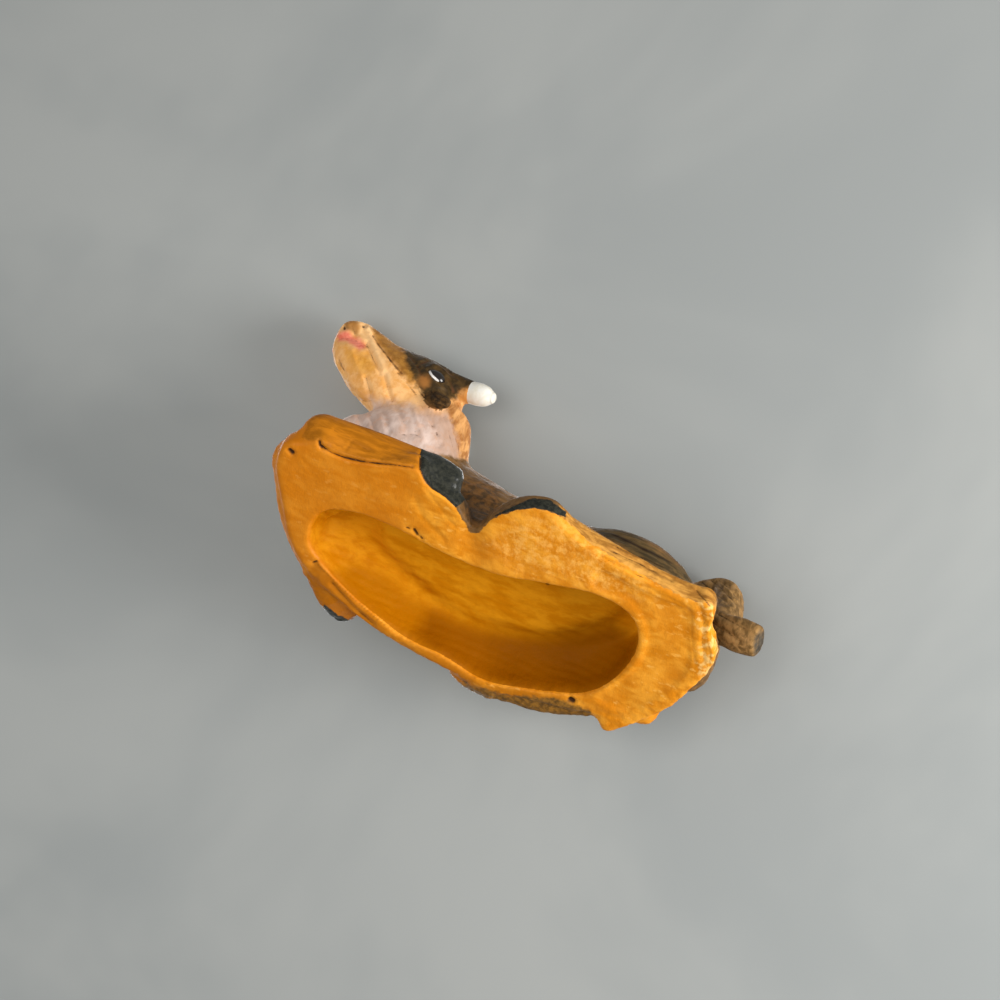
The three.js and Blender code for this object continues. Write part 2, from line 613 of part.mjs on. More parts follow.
let head = cut(headMass(0), moved(neckDowel(BORE_CLEARANCE), headInverse));
for (const [name, side] of SIDES) {
  head = cut(head, ear(side, SEAM), eye(side, SEAM), hornWire(side, BORE_CLEARANCE));
  headGroup.add(piece(`${name}_horn`, cut(horn(side), hornWire(side, BORE_CLEARANCE)), "horn", 0.4));
  headGroup.add(piece(`${name}_horn_wire`, hornWire(side), "wire", 0.4, 1));
  headGroup.add(piece(`${name}_ear`, ear(side), "hair"));
  headGroup.add(piece(`${name}_eye`, eye(side), "eye", 0.15));
}
headGroup.add(piece("head", head, "head"));

// The origin lies on the ground under the middle of the figure
const middle = new THREE.Box3().setFromObject(cow, true).getCenter(v3(0, 0, 0));
cow.position.set(-middle.x, -middle.y, 0);

export default cow;
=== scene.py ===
import math

import bpy
import numpy as np
import openvdb as vdb
from mathutils import Matrix, Vector
from mathutils.bvhtree import BVHTree


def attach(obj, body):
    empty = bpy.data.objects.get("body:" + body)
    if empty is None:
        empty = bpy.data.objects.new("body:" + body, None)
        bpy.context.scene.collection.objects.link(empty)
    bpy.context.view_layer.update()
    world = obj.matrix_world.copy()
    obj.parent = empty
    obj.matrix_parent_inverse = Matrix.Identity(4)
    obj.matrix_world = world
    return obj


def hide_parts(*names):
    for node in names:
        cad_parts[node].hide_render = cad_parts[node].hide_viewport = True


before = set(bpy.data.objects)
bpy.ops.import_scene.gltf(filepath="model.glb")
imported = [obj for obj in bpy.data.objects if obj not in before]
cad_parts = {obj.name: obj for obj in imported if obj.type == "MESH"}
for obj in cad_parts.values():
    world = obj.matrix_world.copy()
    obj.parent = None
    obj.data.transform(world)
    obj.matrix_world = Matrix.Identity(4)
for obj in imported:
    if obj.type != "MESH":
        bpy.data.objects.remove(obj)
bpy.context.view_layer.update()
scene = bpy.context.scene
MM = 0.001

# Camera: place and lens in millimetres of the frame the figure is sculpted in
TILT, LEAN, DISTANCE, SCALE, ROLL = 36.0, 0.05, 350.0, 4.75, 22.3  # SCALE in pixels per millimetre
GROUND_POINT = np.array([7.271, -0.655, 0.0])  # this point of the ground shows at GROUND_PIXEL
GROUND_PIXEL = (490.0, 578.0)
SHIFT = np.array([-1.1171, -0.0772, 0.0])  # from the frame the figure is sculpted in to the row frame
FOCAL = DISTANCE * SCALE
IMAGE = 1000.0


def unit(v):
    return np.asarray(v, float) / np.linalg.norm(v)


def camera_axes():
    tilt, roll = math.radians(TILT), math.radians(ROLL)
    back = unit([math.sin(tilt), LEAN, -math.cos(tilt)])
    right0 = unit(np.array([0.0, 1.0, 0.0]) - back[1] * back)
    up0 = np.cross(back, right0)
    right = math.cos(roll) * right0 + math.sin(roll) * up0
    up = -math.sin(roll) * right0 + math.cos(roll) * up0
    x = (GROUND_PIXEL[0] - IMAGE / 2) / FOCAL * DISTANCE
    y = -(GROUND_PIXEL[1] - IMAGE / 2) / FOCAL * DISTANCE
    eye = GROUND_POINT - x * right - y * up + DISTANCE * back
    return eye, right, up, back


EYE, RIGHT, UP, BACK = camera_axes()

camera_data = bpy.data.cameras.new("camera")
camera = bpy.data.objects.new("camera", camera_data)
scene.collection.objects.link(camera)
camera.matrix_world = Matrix([*np.stack([RIGHT, UP, BACK, (EYE + SHIFT) * MM], 1), (0, 0, 0, 1)])
camera_data.sensor_width = 36.0
camera_data.lens = 36.0 * FOCAL / IMAGE
camera_data.clip_start = 0.01
camera_data.clip_end = 10.0
scene.camera = camera

# Body layout, the same as the casting's
LENGTH = 102.0
FRONT = -52.655
AXIS = -3.229
BACK_HEIGHT = 38.0
WITHERS = 40.0
BARREL = 34.0
BASE = 4.0


def on_body(along, left, height):
    return np.array([AXIS + left, FRONT + along * LENGTH, height])


def cubic(four, f):
    """Smooth step from the second to the third of four points."""
    p0, p1, p2, p3 = four
    return 0.5 * (2 * p1 + (p2 - p0) * f + (2 * p0 - 5 * p1 + 4 * p2 - p3) * f**2
                  + (3 * p1 - p0 - 3 * p2 + p3) * f**3)


def open_curve(points, t):
    """Smooth curve through the points; t runs from 0 to their number less one."""
    p = np.asarray(points, float)
    t = np.clip(t, 0, len(p) - 1 - 1e-9)
    i = t.astype(int)
    p = np.concatenate([[2 * p[0] - p[1]], p, [2 * p[-1] - p[-2]]])
    return cubic([p[i + k] for k in range(4)], (t - i)[:, None])


def closed_curve(points, count):
    t = np.linspace(0, len(points), count, endpoint=False)
    i = t.astype(int)
    return cubic([points[(i + k) % len(points)] for k in (-1, 0, 1, 2)], (t - i)[:, None])


def skin_of(rows, ends):
    """Rows of points, each a ring, joined by quads and closed by a fan to a point at each end."""
    count, sides = rows.shape[:2]
    i, j = np.meshgrid(np.arange(count - 1), np.arange(sides), indexing="ij")
    k = (j + 1) % sides
    quads = np.stack([i * sides + j, i * sides + k, (i + 1) * sides + k, (i + 1) * sides + j], -1).reshape(-1, 4)
    around = np.arange(sides)
    after = (around + 1) % sides
    middle, last = count * sides, (count - 1) * sides
    triangles = np.concatenate([np.stack([np.full(sides, middle), after, around], 1),
                                np.stack([np.full(sides, middle + 1), last + around, last + after], 1)])
    return np.concatenate([rows.reshape(-1, 3), ends]), quads, triangles


def tube(stations, upright=(0, 0, 1), cap=0.7, rings=40, sides=40):
    """Swelling tube: stations are (centre, half width, half height[, pear]). Returns points, quads, triangles."""
    centres = [s[0] for s in stations]
    last = len(stations) - 1
    t = np.linspace(0, last, rings)
    spine = open_curve(centres, t)
    size = open_curve([(s[1], s[2], s[3] if len(s) > 3 else 0.0) for s in stations], t)
    step = 0.01
    tangent = open_curve(centres, t + step) - open_curve(centres, t - step)
    tangent[-1] = spine[-1] - open_curve(centres, np.array([last - step]))[0]
    tangent[0] = open_curve(centres, np.array([step]))[0] - spine[0]
    tangent /= np.linalg.norm(tangent, axis=1, keepdims=True)
    across = np.cross(np.asarray(upright, float), tangent)
    across /= np.linalg.norm(across, axis=1, keepdims=True)
    top = np.cross(tangent, across)
    angle = np.linspace(0, 2 * np.pi, sides, endpoint=False)

    def ring(k, shrink=1.0, advance=0.0):
        wide = size[k, 0] * shrink * (1 - size[k, 2] * np.sin(angle))
        tall = size[k, 1] * shrink
        return (spine[k] + np.outer(wide * np.cos(angle), across[k])
                + np.outer(tall * np.sin(angle), top[k]) + tangent[k] * advance)

    round_off = np.linspace(0.02, 0.98, 9) * np.pi / 2
    start, end = min(size[0, :2]) * cap, min(size[-1, :2]) * cap
    rows = np.stack([ring(0, math.sin(a), -start * math.cos(a)) for a in round_off]
                    + [ring(k) for k in range(rings)]
                    + [ring(rings - 1, math.sin(a), end * math.cos(a)) for a in round_off[::-1]])
    return skin_of(rows, [rows[0].mean(0), rows[-1].mean(0)])


def ball(centre, half, turn=None, sides=40):
    """Ellipsoid with half sizes along its own axes, the rows of turn."""
    u = np.linspace(0, np.pi, sides // 2 + 1)[1:-1]
    v = np.linspace(0, 2 * np.pi, sides, endpoint=False)
    rows = np.stack([np.outer(np.sin(u), np.cos(v)), np.outer(np.sin(u), np.sin(v)),
                     np.outer(np.cos(u), np.ones_like(v))], -1)
    points, quads, triangles = skin_of(rows, [[0, 0, 1], [0, 0, -1]])
    points = points * np.asarray(half, float)
    if turn is not None:
        points = points @ np.asarray(turn, float)
    return points + np.asarray(centre, float), quads[:, [0, 3, 2, 1]], triangles[:, [0, 2, 1]]


# The clay: a signed distance on a grid, and which piece is nearest
VOXEL = 0.35
BAND = 8
FAR = 2.8
LOW = np.round(np.array([-33, -62, -3]) / VOXEL).astype(int)
HIGH = np.round(np.array([34, 64, 68]) / VOXEL).astype(int)
clay = np.full(HIGH - LOW + 1, FAR, np.float32)
nearest = clay.copy()
owner = np.zeros(clay.shape, np.int8)
PIECES = [
    "body_casting", "neck", "head", "left_ear", "right_ear",
    "left_foreleg", "left_fore_hoof", "right_foreleg", "right_fore_hoof",
    "left_hind_leg", "left_hind_hoof", "right_hind_leg", "right_hind_hoof", "tail", "tail_tuft",
]
to_grid = vdb.createLinearTransform(voxelSize=VOXEL)


def distances(form):
    """The form's signed distance on its own part of the grid, with that part's place."""
    points, quads, triangles = form
    level = vdb.FloatGrid.createLevelSetFromPolygons(
        points.astype(np.float32), triangles=triangles.astype(np.uint32), quads=quads.astype(np.uint32),
        transform=to_grid, halfWidth=BAND)
    low, high = (np.array(c) for c in level.evalActiveVoxelBoundingBox())
    values = np.full(high - low + 1, FAR, np.float32)
    level.copyToArray(values, ijk=tuple(int(v) for v in low))
    values = np.clip(values, -FAR, FAR)
    keep_low = np.maximum(low, LOW)
    keep_high = np.minimum(high, HIGH)
    inner = tuple(slice(a - b, c - b + 1) for a, b, c in zip(keep_low, low, keep_high))
    place = tuple(slice(a - b, c - b + 1) for a, b, c in zip(keep_low, LOW, keep_high))
    return values[inner], place


def melt(a, b, k):
    """Smooth union of two distances."""
    near = np.maximum(k - np.abs(a - b), 0) / k
    near[np.maximum(a, b) >= FAR - 1e-3] = 0
    return np.minimum(a, b) - near * near * (k / 4)


def claim(values, place, piece):
    number = PIECES.index(piece)
    closer = values < nearest[place]
    nearest[place] = np.where(closer, values, nearest[place])
    owner[place] = np.where(closer, number, owner[place])


# The distance to the forms of one kind, for paint that follows a joint
own = {part: clay.copy() for part in ("rest", "neck", "head", "hoof")}
OWN_OF = {"neck": "neck", "head": "head", "ear": "head", "hoof": "hoof"}


def add(piece, form, k=1.5):
    values, place = distances(form)
    clay[place] = melt(clay[place], values, k)
    claim(values, place, piece)
    part = OWN_OF.get(piece.split("_")[-1], "rest")
    own[part][place] = np.minimum(own[part][place], values)


SIDES = (("left", 1), ("right", -1))

# Torso: how far along, to the left, half width, top and bottom as shares, and the height they are shares of
TORSO = [
    (0.1, 4, 0.42, 0.52, 0.14, WITHERS), (0.2, 2, 0.8, 0.82, 0.02, WITHERS),
    (0.33, 0, 0.98, 1.0, -0.02, WITHERS), (0.47, 0, 1.0, 0.94, -0.02, BACK_HEIGHT),
    (0.62, 0, 0.98, 0.93, -0.02, BACK_HEIGHT), (0.77, 0, 0.98, 1.0, -0.02, BACK_HEIGHT),
    (0.89, 0, 0.86, 0.99, 0.0, BACK_HEIGHT), (0.96, 0, 0.5, 0.9, 0.16, BACK_HEIGHT),
]
add("body_casting", tube([
    (on_body(a, left, (top + low) / 2 * of), wide * BARREL / 2, (top - low) / 2 * of, 0.14)
    for a, left, wide, top, low, of in TORSO], rings=90, sides=80))
add("body_casting", ball(on_body(0.54, 0.6, BASE), (19.4, 44, 15), sides=80), 2.5)

# Ground mass: the rim of the underside, round from the crack beside the left foreleg
RIM = np.array([
    (23.2, -43.1), (21.6, -40.5), (21.7, -37.4), (22.4, -34.4), (23.6, -30.7), (24.9, -27), (25.8, -24.2),
    (25.6, -22.1), (24.1, -20.2), (23.1, -18.3), (22.4, -15.2), (20.9, -12.3), (18.6, -9.9), (16.8, -7.9),
    (17.8, -6.2), (21, -5), (23.5, -3.3), (26.3, -0.7), (28.3, 2.8), (28.8, 5.9), (27.6, 8.3), (25.6, 11.4),
    (23.8, 15.7), (22.8, 20.3), (22.2, 24.9), (21.8, 29.5), (21.4, 33.7), (21.3, 37.2), (21.7, 40.3),
    (22.6, 42.4), (21.8, 44.1), (18.8, 45.0), (15.6, 45.4), (13.1, 47), (11, 48.4), (7.8, 49), (3.2, 48.4),
    (-1.3, 47), (-6.1, 45.1), (-10.5, 42.8), (-14.5, 40.2), (-18.4, 37.3), (-20.4, 35.2), (-19.5, 33.4),
    (-17.3, 31.8), (-16.4, 29.6), (-16.6, 26.5), (-17.8, 22.2), (-19.2, 17.9), (-20.7, 13.6), (-21.9, 9.7),
    (-22.4, 5.8), (-22.1, 2.3), (-20.9, -1.8), (-19.8, -5.5), (-19.4, -9.4), (-19.3, -13.3), (-17.9, -17),
    (-16.4, -21), (-14.9, -25.1), (-13.7, -29.2), (-12.6, -33), (-11, -36.9), (-8.2, -40.5), (-3.9, -43.6),
    (1.7, -46.5), (7.4, -48.9), (12.1, -50.6), (15.3, -51.1), (17.8, -50.6), (19.6, -49.1), (20.4, -47.1),
    (21.5, -45.3),
])
HOLLOW = np.array([
    (-6.8, -36.8), (-10.2, -31.9), (-12.5, -27.8), (-14.3, -23.8), (-15.8, -19.8), (-17.3, -16.1),
    (-18, -13.3), (-18.3, -10.1), (-18.4, -5.6), (-19.7, 0.3), (-20.5, 2.9), (-20.7, 6.6), (-20.0, 10),
    (-18.5, 14.2), (-17.1, 18.5), (-15.4, 22.6), (-14, 25.7), (-12.1, 28.1), (-9.2, 30.4), (-4.7, 32.3),
    (0.5, 33.5), (5, 33.5), (8.7, 32.2), (11.6, 29.6), (13.3, 25.5), (13.6, 22.1), (13.2, 18.5),
    (12.2, 14.8), (11.3, 11), (10.4, 7.5), (9.1, 3.3), (8.3, -1), (8, -5.4), (8.2, -8.9), (8.4, -12.4),
    (9, -17.1), (9.5, -21.8), (9.7, -26.4), (9.6, -30.5), (8.8, -34.2), (7.5, -37.4), (4.9, -39.8),
    (1, -40.7), (-3.5, -39.9),
])
PLATE = np.array([
    (-0.6, -28), (-2.9, -26.7), (-6.4, -22), (-9.1, -15.5), (-11.4, -11.8), (-13.9, -3.8), (-12.2, 4.1),
    (-9.6, 14), (-5.5, 19.6), (0, 25), (4.5, 28.5), (9, 30), (15, 26), (15, 5), (12, -10), (10, -22), (5, -28),
])
PANEL = np.array([
    (20, 19.6), (19.8, 26.4), (19.5, 32.5), (19.4, 38.3), (18.4, 40.5), (12.5, 43), (6.7, 45.2), (0.1, 44.6),
    (-6.4, 41.5), (-12.5, 37.2), (-13, 30), (-8, 31.5), (0, 35), (9, 34), (15, 28), (15, 20),
])

gx = (np.arange(LOW[0], HIGH[0] + 1) * VOXEL).astype(np.float32)
gy = (np.arange(LOW[1], HIGH[1] + 1) * VOXEL).astype(np.float32)
gz = (np.arange(LOW[2], HIGH[2] + 1) * VOXEL).astype(np.float32)
X, Y = np.meshgrid(gx, gy, indexing="ij")


def flat_distance(curve, px, py):
    """Signed distance in a plane to a closed curve, negative inside."""
    best = np.full(px.shape, 1e9, np.float32)
    inside = np.zeros(px.shape, bool)
    for a, b in zip(curve, np.roll(curve, -1, 0)):
        d = b - a
        t = np.clip(((px - a[0]) * d[0] + (py - a[1]) * d[1]) / (d @ d), 0, 1)
        best = np.minimum(best, np.hypot(px - a[0] - t * d[0], py - a[1] - t * d[1]))
        if a[1] != b[1]:
            inside ^= ((a[1] > py) != (b[1] > py)) & (px < a[0] + (py - a[1]) * d[0] / d[1])
    return np.where(inside, -best, best).astype(np.float32)


def ease(t):
    t = np.clip(t, 0, 1)
    return t * t * (3 - 2 * t)


rim_distance = flat_distance(closed_curve(RIM, 300), X, Y)
hollow_distance = flat_distance(closed_curve(HOLLOW, 180), X, Y)
plate_distance = flat_distance(closed_curve(PLATE, 80), X, Y)
panel_distance = flat_distance(closed_curve(PANEL, 80), X, Y)

# How far the rim's side spreads outwards above the ground, at some places along it
SPREAD = [
    (-14, -24, 4.0), (-18, -12, 1.8), (-21, 4, 1.2), (-18, 20, 0.2), (-19, 36, 0.8), (-8, -40, 2.2), (8, -50, 0.6),
    (22, -46, 1.2), (24, -30, 0.8), (18, -9, 0.3), (28, 5, 0.6), (23, 22, 2.2), (22, 36, 1.6), (20, 46, 0.5),
    (3, 49, 0.6), (-12, 42, 0.8),
]
weight_sum = 0
spread = 0
for sx, sy, s in SPREAD:
    weight = 1 / ((X - sx) ** 2 + (Y - sy) ** 2 + 4) ** 1.5
    spread = spread + weight * s
    weight_sum = weight_sum + weight
spread = (spread / weight_sum).astype(np.float32)
SLAB, EDGE = 5.0, 1.0
rise = np.sqrt(np.clip(gz / SLAB, 0, 1))[None, None, :]
side_distance = rim_distance[:, :, None] - spread[:, :, None] * rise + EDGE
level = (np.maximum(-gz, gz - SLAB) + EDGE)[None, None, :]
slab = np.hypot(np.maximum(side_distance, 0), np.maximum(level, 0)) + np.minimum(
    np.maximum(side_distance, level), 0) - EDGE
slab = np.clip(slab, -FAR, FAR).astype(np.float32)

# Limbs
LEG, ARM, SHANK, HOOF = 5.2, 5.5, 4.3, 5.0
LEG_Z, SHANK_Z = 6.4, 5.5
HOOF_SHARE = 9.0 / LENGTH
foot = {
    "left_fore": (on_body(0.28, 24.1, LEG_Z + 0.2), on_body(0.28 + HOOF_SHARE, 23.8, LEG_Z + 0.4)),
    "right_fore": (on_body(0.2, -14.2, LEG_Z), on_body(0.245, -17.8, LEG_Z)),
    "left_hind": (on_body(0.6, 24.5, SHANK_Z), on_body(0.6 - HOOF_SHARE, 23.7, SHANK_Z * 1.1)),
    "right_hind": (on_body(0.6, -20, SHANK_Z), on_body(0.6 - HOOF_SHARE, -19.2, SHANK_Z * 1.1)),
}


def foreleg(piece, knee, bend, fetlock, elbow, shoulder):
    add(piece, tube([(knee, LEG, LEG), (bend, LEG * 0.95, LEG * 0.95), (fetlock, LEG * 0.92, LEG * 0.94)],
                    cap=0.9), 1.0)
    bent = knee + np.array([-0.35, 0.8, 0.35]) * LEG
    add(piece, tube([(bent, ARM * 0.75, ARM * 0.75), (elbow, ARM, ARM), (shoulder, ARM, ARM * 1.5)]), 2.0)


foreleg("left_foreleg", on_body(0.081, 23.2, LEG_Z - 0.4), on_body(0.183, 23.9, LEG_Z), foot["left_fore"][0],
        on_body(0.21, 13.4, 11), on_body(0.33, 12, 17.6))
foreleg("right_foreleg", on_body(0.04, 15.4, LEG_Z - 0.4), on_body(0.095, 0, LEG_Z), foot["right_fore"][0],
        on_body(0.17, -5, 11), on_body(0.31, -12, 17.6))
for name, side in SIDES:
    hock, spread_foot = (17.5, 24.5) if side > 0 else (11.5, 20)
    piece = f"{name}_hind_leg"
    add(piece, ball(on_body(0.77, side * 11, 14.8), (9.6, 16.5, 13.7), sides=60), 2.0)
    add(piece, tube([
        (on_body(0.92, side * hock, SHANK_Z * 1.35), SHANK, SHANK * 1.1),
        (on_body(0.84, side * 1.09 * hock, SHANK_Z * 1.1), SHANK, SHANK * 1.05),
        (on_body(0.72, side * 0.9 * spread_foot, SHANK_Z), SHANK * 0.95, SHANK),
        (foot[f"{name}_hind"][0], SHANK * 0.95, SHANK)]), 1.2)
for name, (start, end) in foot.items():
    add(f"{name}_hoof", tube([(start, HOOF * 0.94, HOOF * 0.94), ((start + end) / 2, HOOF, HOOF * 0.98),
                              (end, HOOF * 0.84, HOOF * 0.8)], cap=0.45), 0.5)

# Neck and head
HEAD_AT = np.array([1.5 + GROUND_POINT[0], -30.0 + GROUND_POINT[1], 50.0])
HEAD_L, HEAD_W, HEAD_D = 36.0, 17.5, 22.0
turn, lift = math.radians(4), math.radians(-18)
HEAD_AXES = np.array([
    [math.cos(turn), math.sin(turn), 0],
    [-math.sin(turn) * math.cos(lift), math.cos(turn) * math.cos(lift), math.sin(lift)],
    [math.sin(turn) * math.sin(lift), -math.cos(turn) * math.sin(lift), math.cos(lift)],
])  # rows: the head's left, back and top


def on_head(x, y, z):
    return HEAD_AT + np.array([x, y, z], float) @ HEAD_AXES


NECK_FOOT = on_body(0.19, 2, WITHERS * 0.5)


def on_neck(share):
    return NECK_FOOT + (HEAD_AT - NECK_FOOT) * share


NECK = [(0, 2.4, 1.5, 10.9, 16), (0.33, 2.7, 2, 9.5, 15), (0.6, 1.4, 2.5, 8.2, 12.7), (0.88, 0.3, 2.3, 7.1, 9.8)]
add("neck", tube([(on_neck(up) + np.array([left, back, 0]), wide, deep) for up, left, back, wide, deep in NECK],
                 upright=(0, 1, 0), cap=0.4, sides=60), 3.0)
add("neck", tube([(np.array([8.5, -43, 17]), 2.5, 4), (np.array([8.4, -45, 24]), 2.6, 3.4),
                  (np.array([8.2, -43, 31]), 2.2, 2.6)], upright=(0, 1, 0), sides=40), 3.0)
SKULL = [
    (-0.17, 0.24, -0.16, 0.56), (-0.06, 0.42, -0.46, 0.9), (0.08, 0.45, -0.56, 1.0), (0.28, 0.42, -0.57, 0.86),
    (0.48, 0.385, -0.45, 0.68), (0.62, 0.4, -0.29, 0.62), (0.725, 0.39, -0.1, 0.57)]
add("head", tube([
    (on_head(0, -f * HEAD_L, (top + low) / 2 * HEAD_D), wide * HEAD_W / 2, (top - low) / 2 * HEAD_D, -0.06)
    for f, top, low, wide in SKULL], upright=HEAD_AXES[2], cap=0.36, rings=60, sides=60), 1.6)
for across, size in ((3.3, 2.3), (-2.8, 1.9)):
    add("head", ball(on_head(across, -26.3, 0.4), (size, size, size), sides=30), 2.2)
HORN_ROOT = np.array([HEAD_W * 0.27, 0.8, HEAD_D * 0.15])
EAR_WAY = {1: unit([0.42, 0.82, -0.39]) * 7, -1: unit([0.84, 0.5, -0.2]) * 8.5}  # the right one stands off the neck
HORN_WAY = {1: unit([0.34, 0.93, 0.08]), -1: unit([0.42, 0.9, 0.08]) * 0.93}  # the right one is a little shorter


def on_horn(side, distance):
    p = HORN_ROOT + HORN_WAY[side] * distance
    return on_head(side * p[0], p[1], p[2])


horns = {}
for name, side in SIDES:
    add("head", tube([(on_horn(side, -2), 3.8, 3.8), (on_horn(side, 3.2), 3.2, 3.2), (on_horn(side, 6.9), 2.75, 2.75)],
                     cap=0.05), 1.2)
    horns[name] = tube([(on_horn(side, 6.5), 2.65, 2.6), (on_horn(side, 8.6), 2.75, 2.6),
                        (on_horn(side, 10.6), 2.35, 2.2), (on_horn(side, 12.1), 1.35, 1.3)],
                       cap=0.5, rings=36, sides=48)
    root = np.array([HEAD_W * 0.34, HEAD_L * 0.05, -HEAD_D * 0.27])
    line = [root + EAR_WAY[side] * s for s in (0, 0.45, 0.8, 1)]
    line = [on_head(side * p[0], p[1], p[2]) for p in line]
    add(f"{name}_ear", tube([
        (line[0], 1.6, 1.5), (line[1], 2.6, 1.6), (line[2], 2.2, 1.2), (line[3], 0.9, 0.8)],
        upright=unit([side, -0.5, 0.3]), cap=0.5), 0.8)

# Tail
TAIL_ROOT = on_body(0.94, 2.5, BACK_HEIGHT * 0.8)
TAIL_ARCH = on_body(0.992, 5, BACK_HEIGHT * 0.86)
TAIL_END = on_body(0.99, 12, BACK_HEIGHT * 0.32)
TUFT_WAY = unit([0.3, 0.9, -0.3])
add("tail", tube([
    (TAIL_ROOT, 4.4, 4.2), (TAIL_ARCH, 4.2, 4.2), (on_body(1.0, 8, BACK_HEIGHT * 0.6), 4.4, 4.0),
    (TAIL_END, 3.6, 3.4)], upright=(1, 0, 0)), 1.5)
add("tail_tuft", tube([
    (TAIL_END, 3.3, 3.3), (TAIL_END + TUFT_WAY * 5, 3.9, 3.7), (TAIL_END + TUFT_WAY * 9.5, 3.5, 3.2)], cap=0.08), 0.8)

# Underside: the slab joins the forms, and the hollow is cut out of it
outer = np.minimum(clay, np.clip(rim_distance[:, :, None] - spread[:, :, None] * rise, -FAR, FAR)
                   + np.where(gz > SLAB, FAR * 2, 0)[None, None, :])
clay = melt(clay, slab, 1.6)
whole = (slice(None),) * 3
claim(slab + 0.6, whole, "body_casting")
inset = np.maximum(-hollow_distance, 0)
wall = 3.0 + 6.5 * ease((2 - X) / 14) + 5.0 * ease((-22 - Y) / 14)
wall = wall - 2.1 * ease((Y - 12) / 14)
depth = 11.0 * np.sqrt(1 - (1 - np.clip(inset / wall, 0, 1)) ** 2.2)
plate = ease((2.4 - plate_distance) / 5.2)
depth = depth + (np.minimum(depth, 9.2) - depth) * plate
slope = np.hypot(*np.gradient(depth, VOXEL))
roof = (gz[None, None, :] - depth[:, :, None]) / np.sqrt(1 + slope**2)[:, :, None]
away = np.hypot(np.maximum(hollow_distance, 0)[:, :, None], np.maximum(gz, 0)[None, None, :])
recess = np.where(hollow_distance[:, :, None] > 0, away, roof)
recess = np.maximum(recess, outer + 2.0)
recess = np.clip(recess, -FAR, FAR).astype(np.float32)
clay = -melt(-clay, recess, 0.5)

# The ground face: a shallow panel at the rear, a valley from the belly notch, low waves
lift_map = 0.45 * ease((0.2 - panel_distance) / 0.9)
t = np.clip(((X - 17) * -8.5 + (Y + 8) * 3) / (8.5**2 + 3**2), 0, 1)
valley = np.hypot(X - 17 + 8.5 * t, Y + 8 - 3 * t)
lift_map = lift_map + 0.9 * np.exp(-((valley / 2.6) ** 2)) * (1 - 0.6 * t)
lift_map = lift_map + 0.16 * (1 + np.sin(X * 0.45 + 1.3 * np.sin(Y * 0.21)) * np.sin(Y * 0.33 + 0.8))
ground = (lift_map[:, :, None] - gz[None, None, :]).astype(np.float32)
clay = -melt(-clay, -ground, 0.4)


def soften(field, times=1):
    for _ in range(times):
        for axis in range(3):
            field = np.moveaxis(field, axis, 0)
            out = field.copy()
            out[1:-1] = 0.25 * field[:-2] + 0.5 * field[1:-1] + 0.25 * field[2:]
            field = np.moveaxis(out, 0, axis)
    return field


clay = np.maximum(soften(clay, 2), -gz[None, None, :])

grid = vdb.FloatGrid(FAR)
grid.transform = to_grid
grid.copyFromArray(np.ascontiguousarray(clay), ijk=tuple(int(v) for v in LOW))
points, _, quads = grid.convertToPolygons(isovalue=0.0, adaptivity=0.0)
points = points.astype(float)
quads = quads.astype(int)
a, b, c, d = (points[quads[:, k]] for k in range(4))
if (np.cross(c - a, d - b) * (a + b + c + d)).sum() < 0:
    quads = quads[:, ::-1]


def point_normals(points, faces):
    n = np.cross(points[faces[:, 2]] - points[faces[:, 0]], points[faces[:, 3]] - points[faces[:, 1]])
    out = sum(np.stack([np.bincount(faces[:, k], n[:, c], len(points)) for c in range(3)], 1) for k in range(4))
    return out / np.maximum(np.linalg.norm(out, axis=1, keepdims=True), 1e-9)


def blended(field, i, f):
    """Values of a grid field between its points: i counts whole steps and f is the rest of the way."""
    total = 0
    for corner in np.ndindex(2, 2, 2):
        j = (i + corner) % field.shape
        total = total + np.prod(np.where(corner, f, 1 - f), axis=1) * field[tuple(j.T)]
    return total


def looked_up(field, p):
    """Values of one of the clay's fields at points."""
    q = p / VOXEL - LOW
    i = np.clip(np.floor(q).astype(int), 0, np.array(field.shape) - 2)
    return blended(field, i, q - i)


def cell_of(p):
    """The place in the clay's fields nearest to each point."""
    return tuple(np.clip(np.round(p / VOXEL).astype(int) - LOW, 0, np.array(clay.shape) - 1).T)


normals = point_normals(points, quads)
centres = points[quads].mean(1)
label = owner[cell_of(centres)].copy()
label[(recess[cell_of(centres)] < 1.0) | (centres[:, 2] < 1.2)] = PIECES.index("body_casting")


# What the photograph shows of the skin, in its pixels
def pixel_of(p):
    d = p - EYE
    depth = -(d @ BACK)
    return np.stack([IMAGE / 2 + FOCAL * (d @ RIGHT) / depth, IMAGE / 2 - FOCAL * (d @ UP) / depth], 1)


def facing(p, n):
    d = EYE - p
    return (n * d).sum(1) / np.linalg.norm(d, axis=1)


tree = BVHTree.FromPolygons(points.tolist(), quads.tolist())
toward = facing(points, normals)
seen = np.zeros(len(points))
for k in np.flatnonzero(toward > 0.03):
    ray = points[k] - EYE
    reach = math.sqrt(ray @ ray)
    hit = tree.ray_cast(Vector(EYE), Vector(ray), reach + 1.0)
    if hit[3] is None or hit[3] > reach - 0.7:
        seen[k] = 1.0

for _ in range(3):
    wider = seen[quads].max(1)
    for k in range(4):
        np.maximum.at(seen, quads[:, k], wider)

# Owner of each point, and its place folded on to the photographed side for head and neck
belongs = owner[cell_of(points)]


def among(*names):
    return np.isin(belongs, [PIECES.index(name) for name in names])


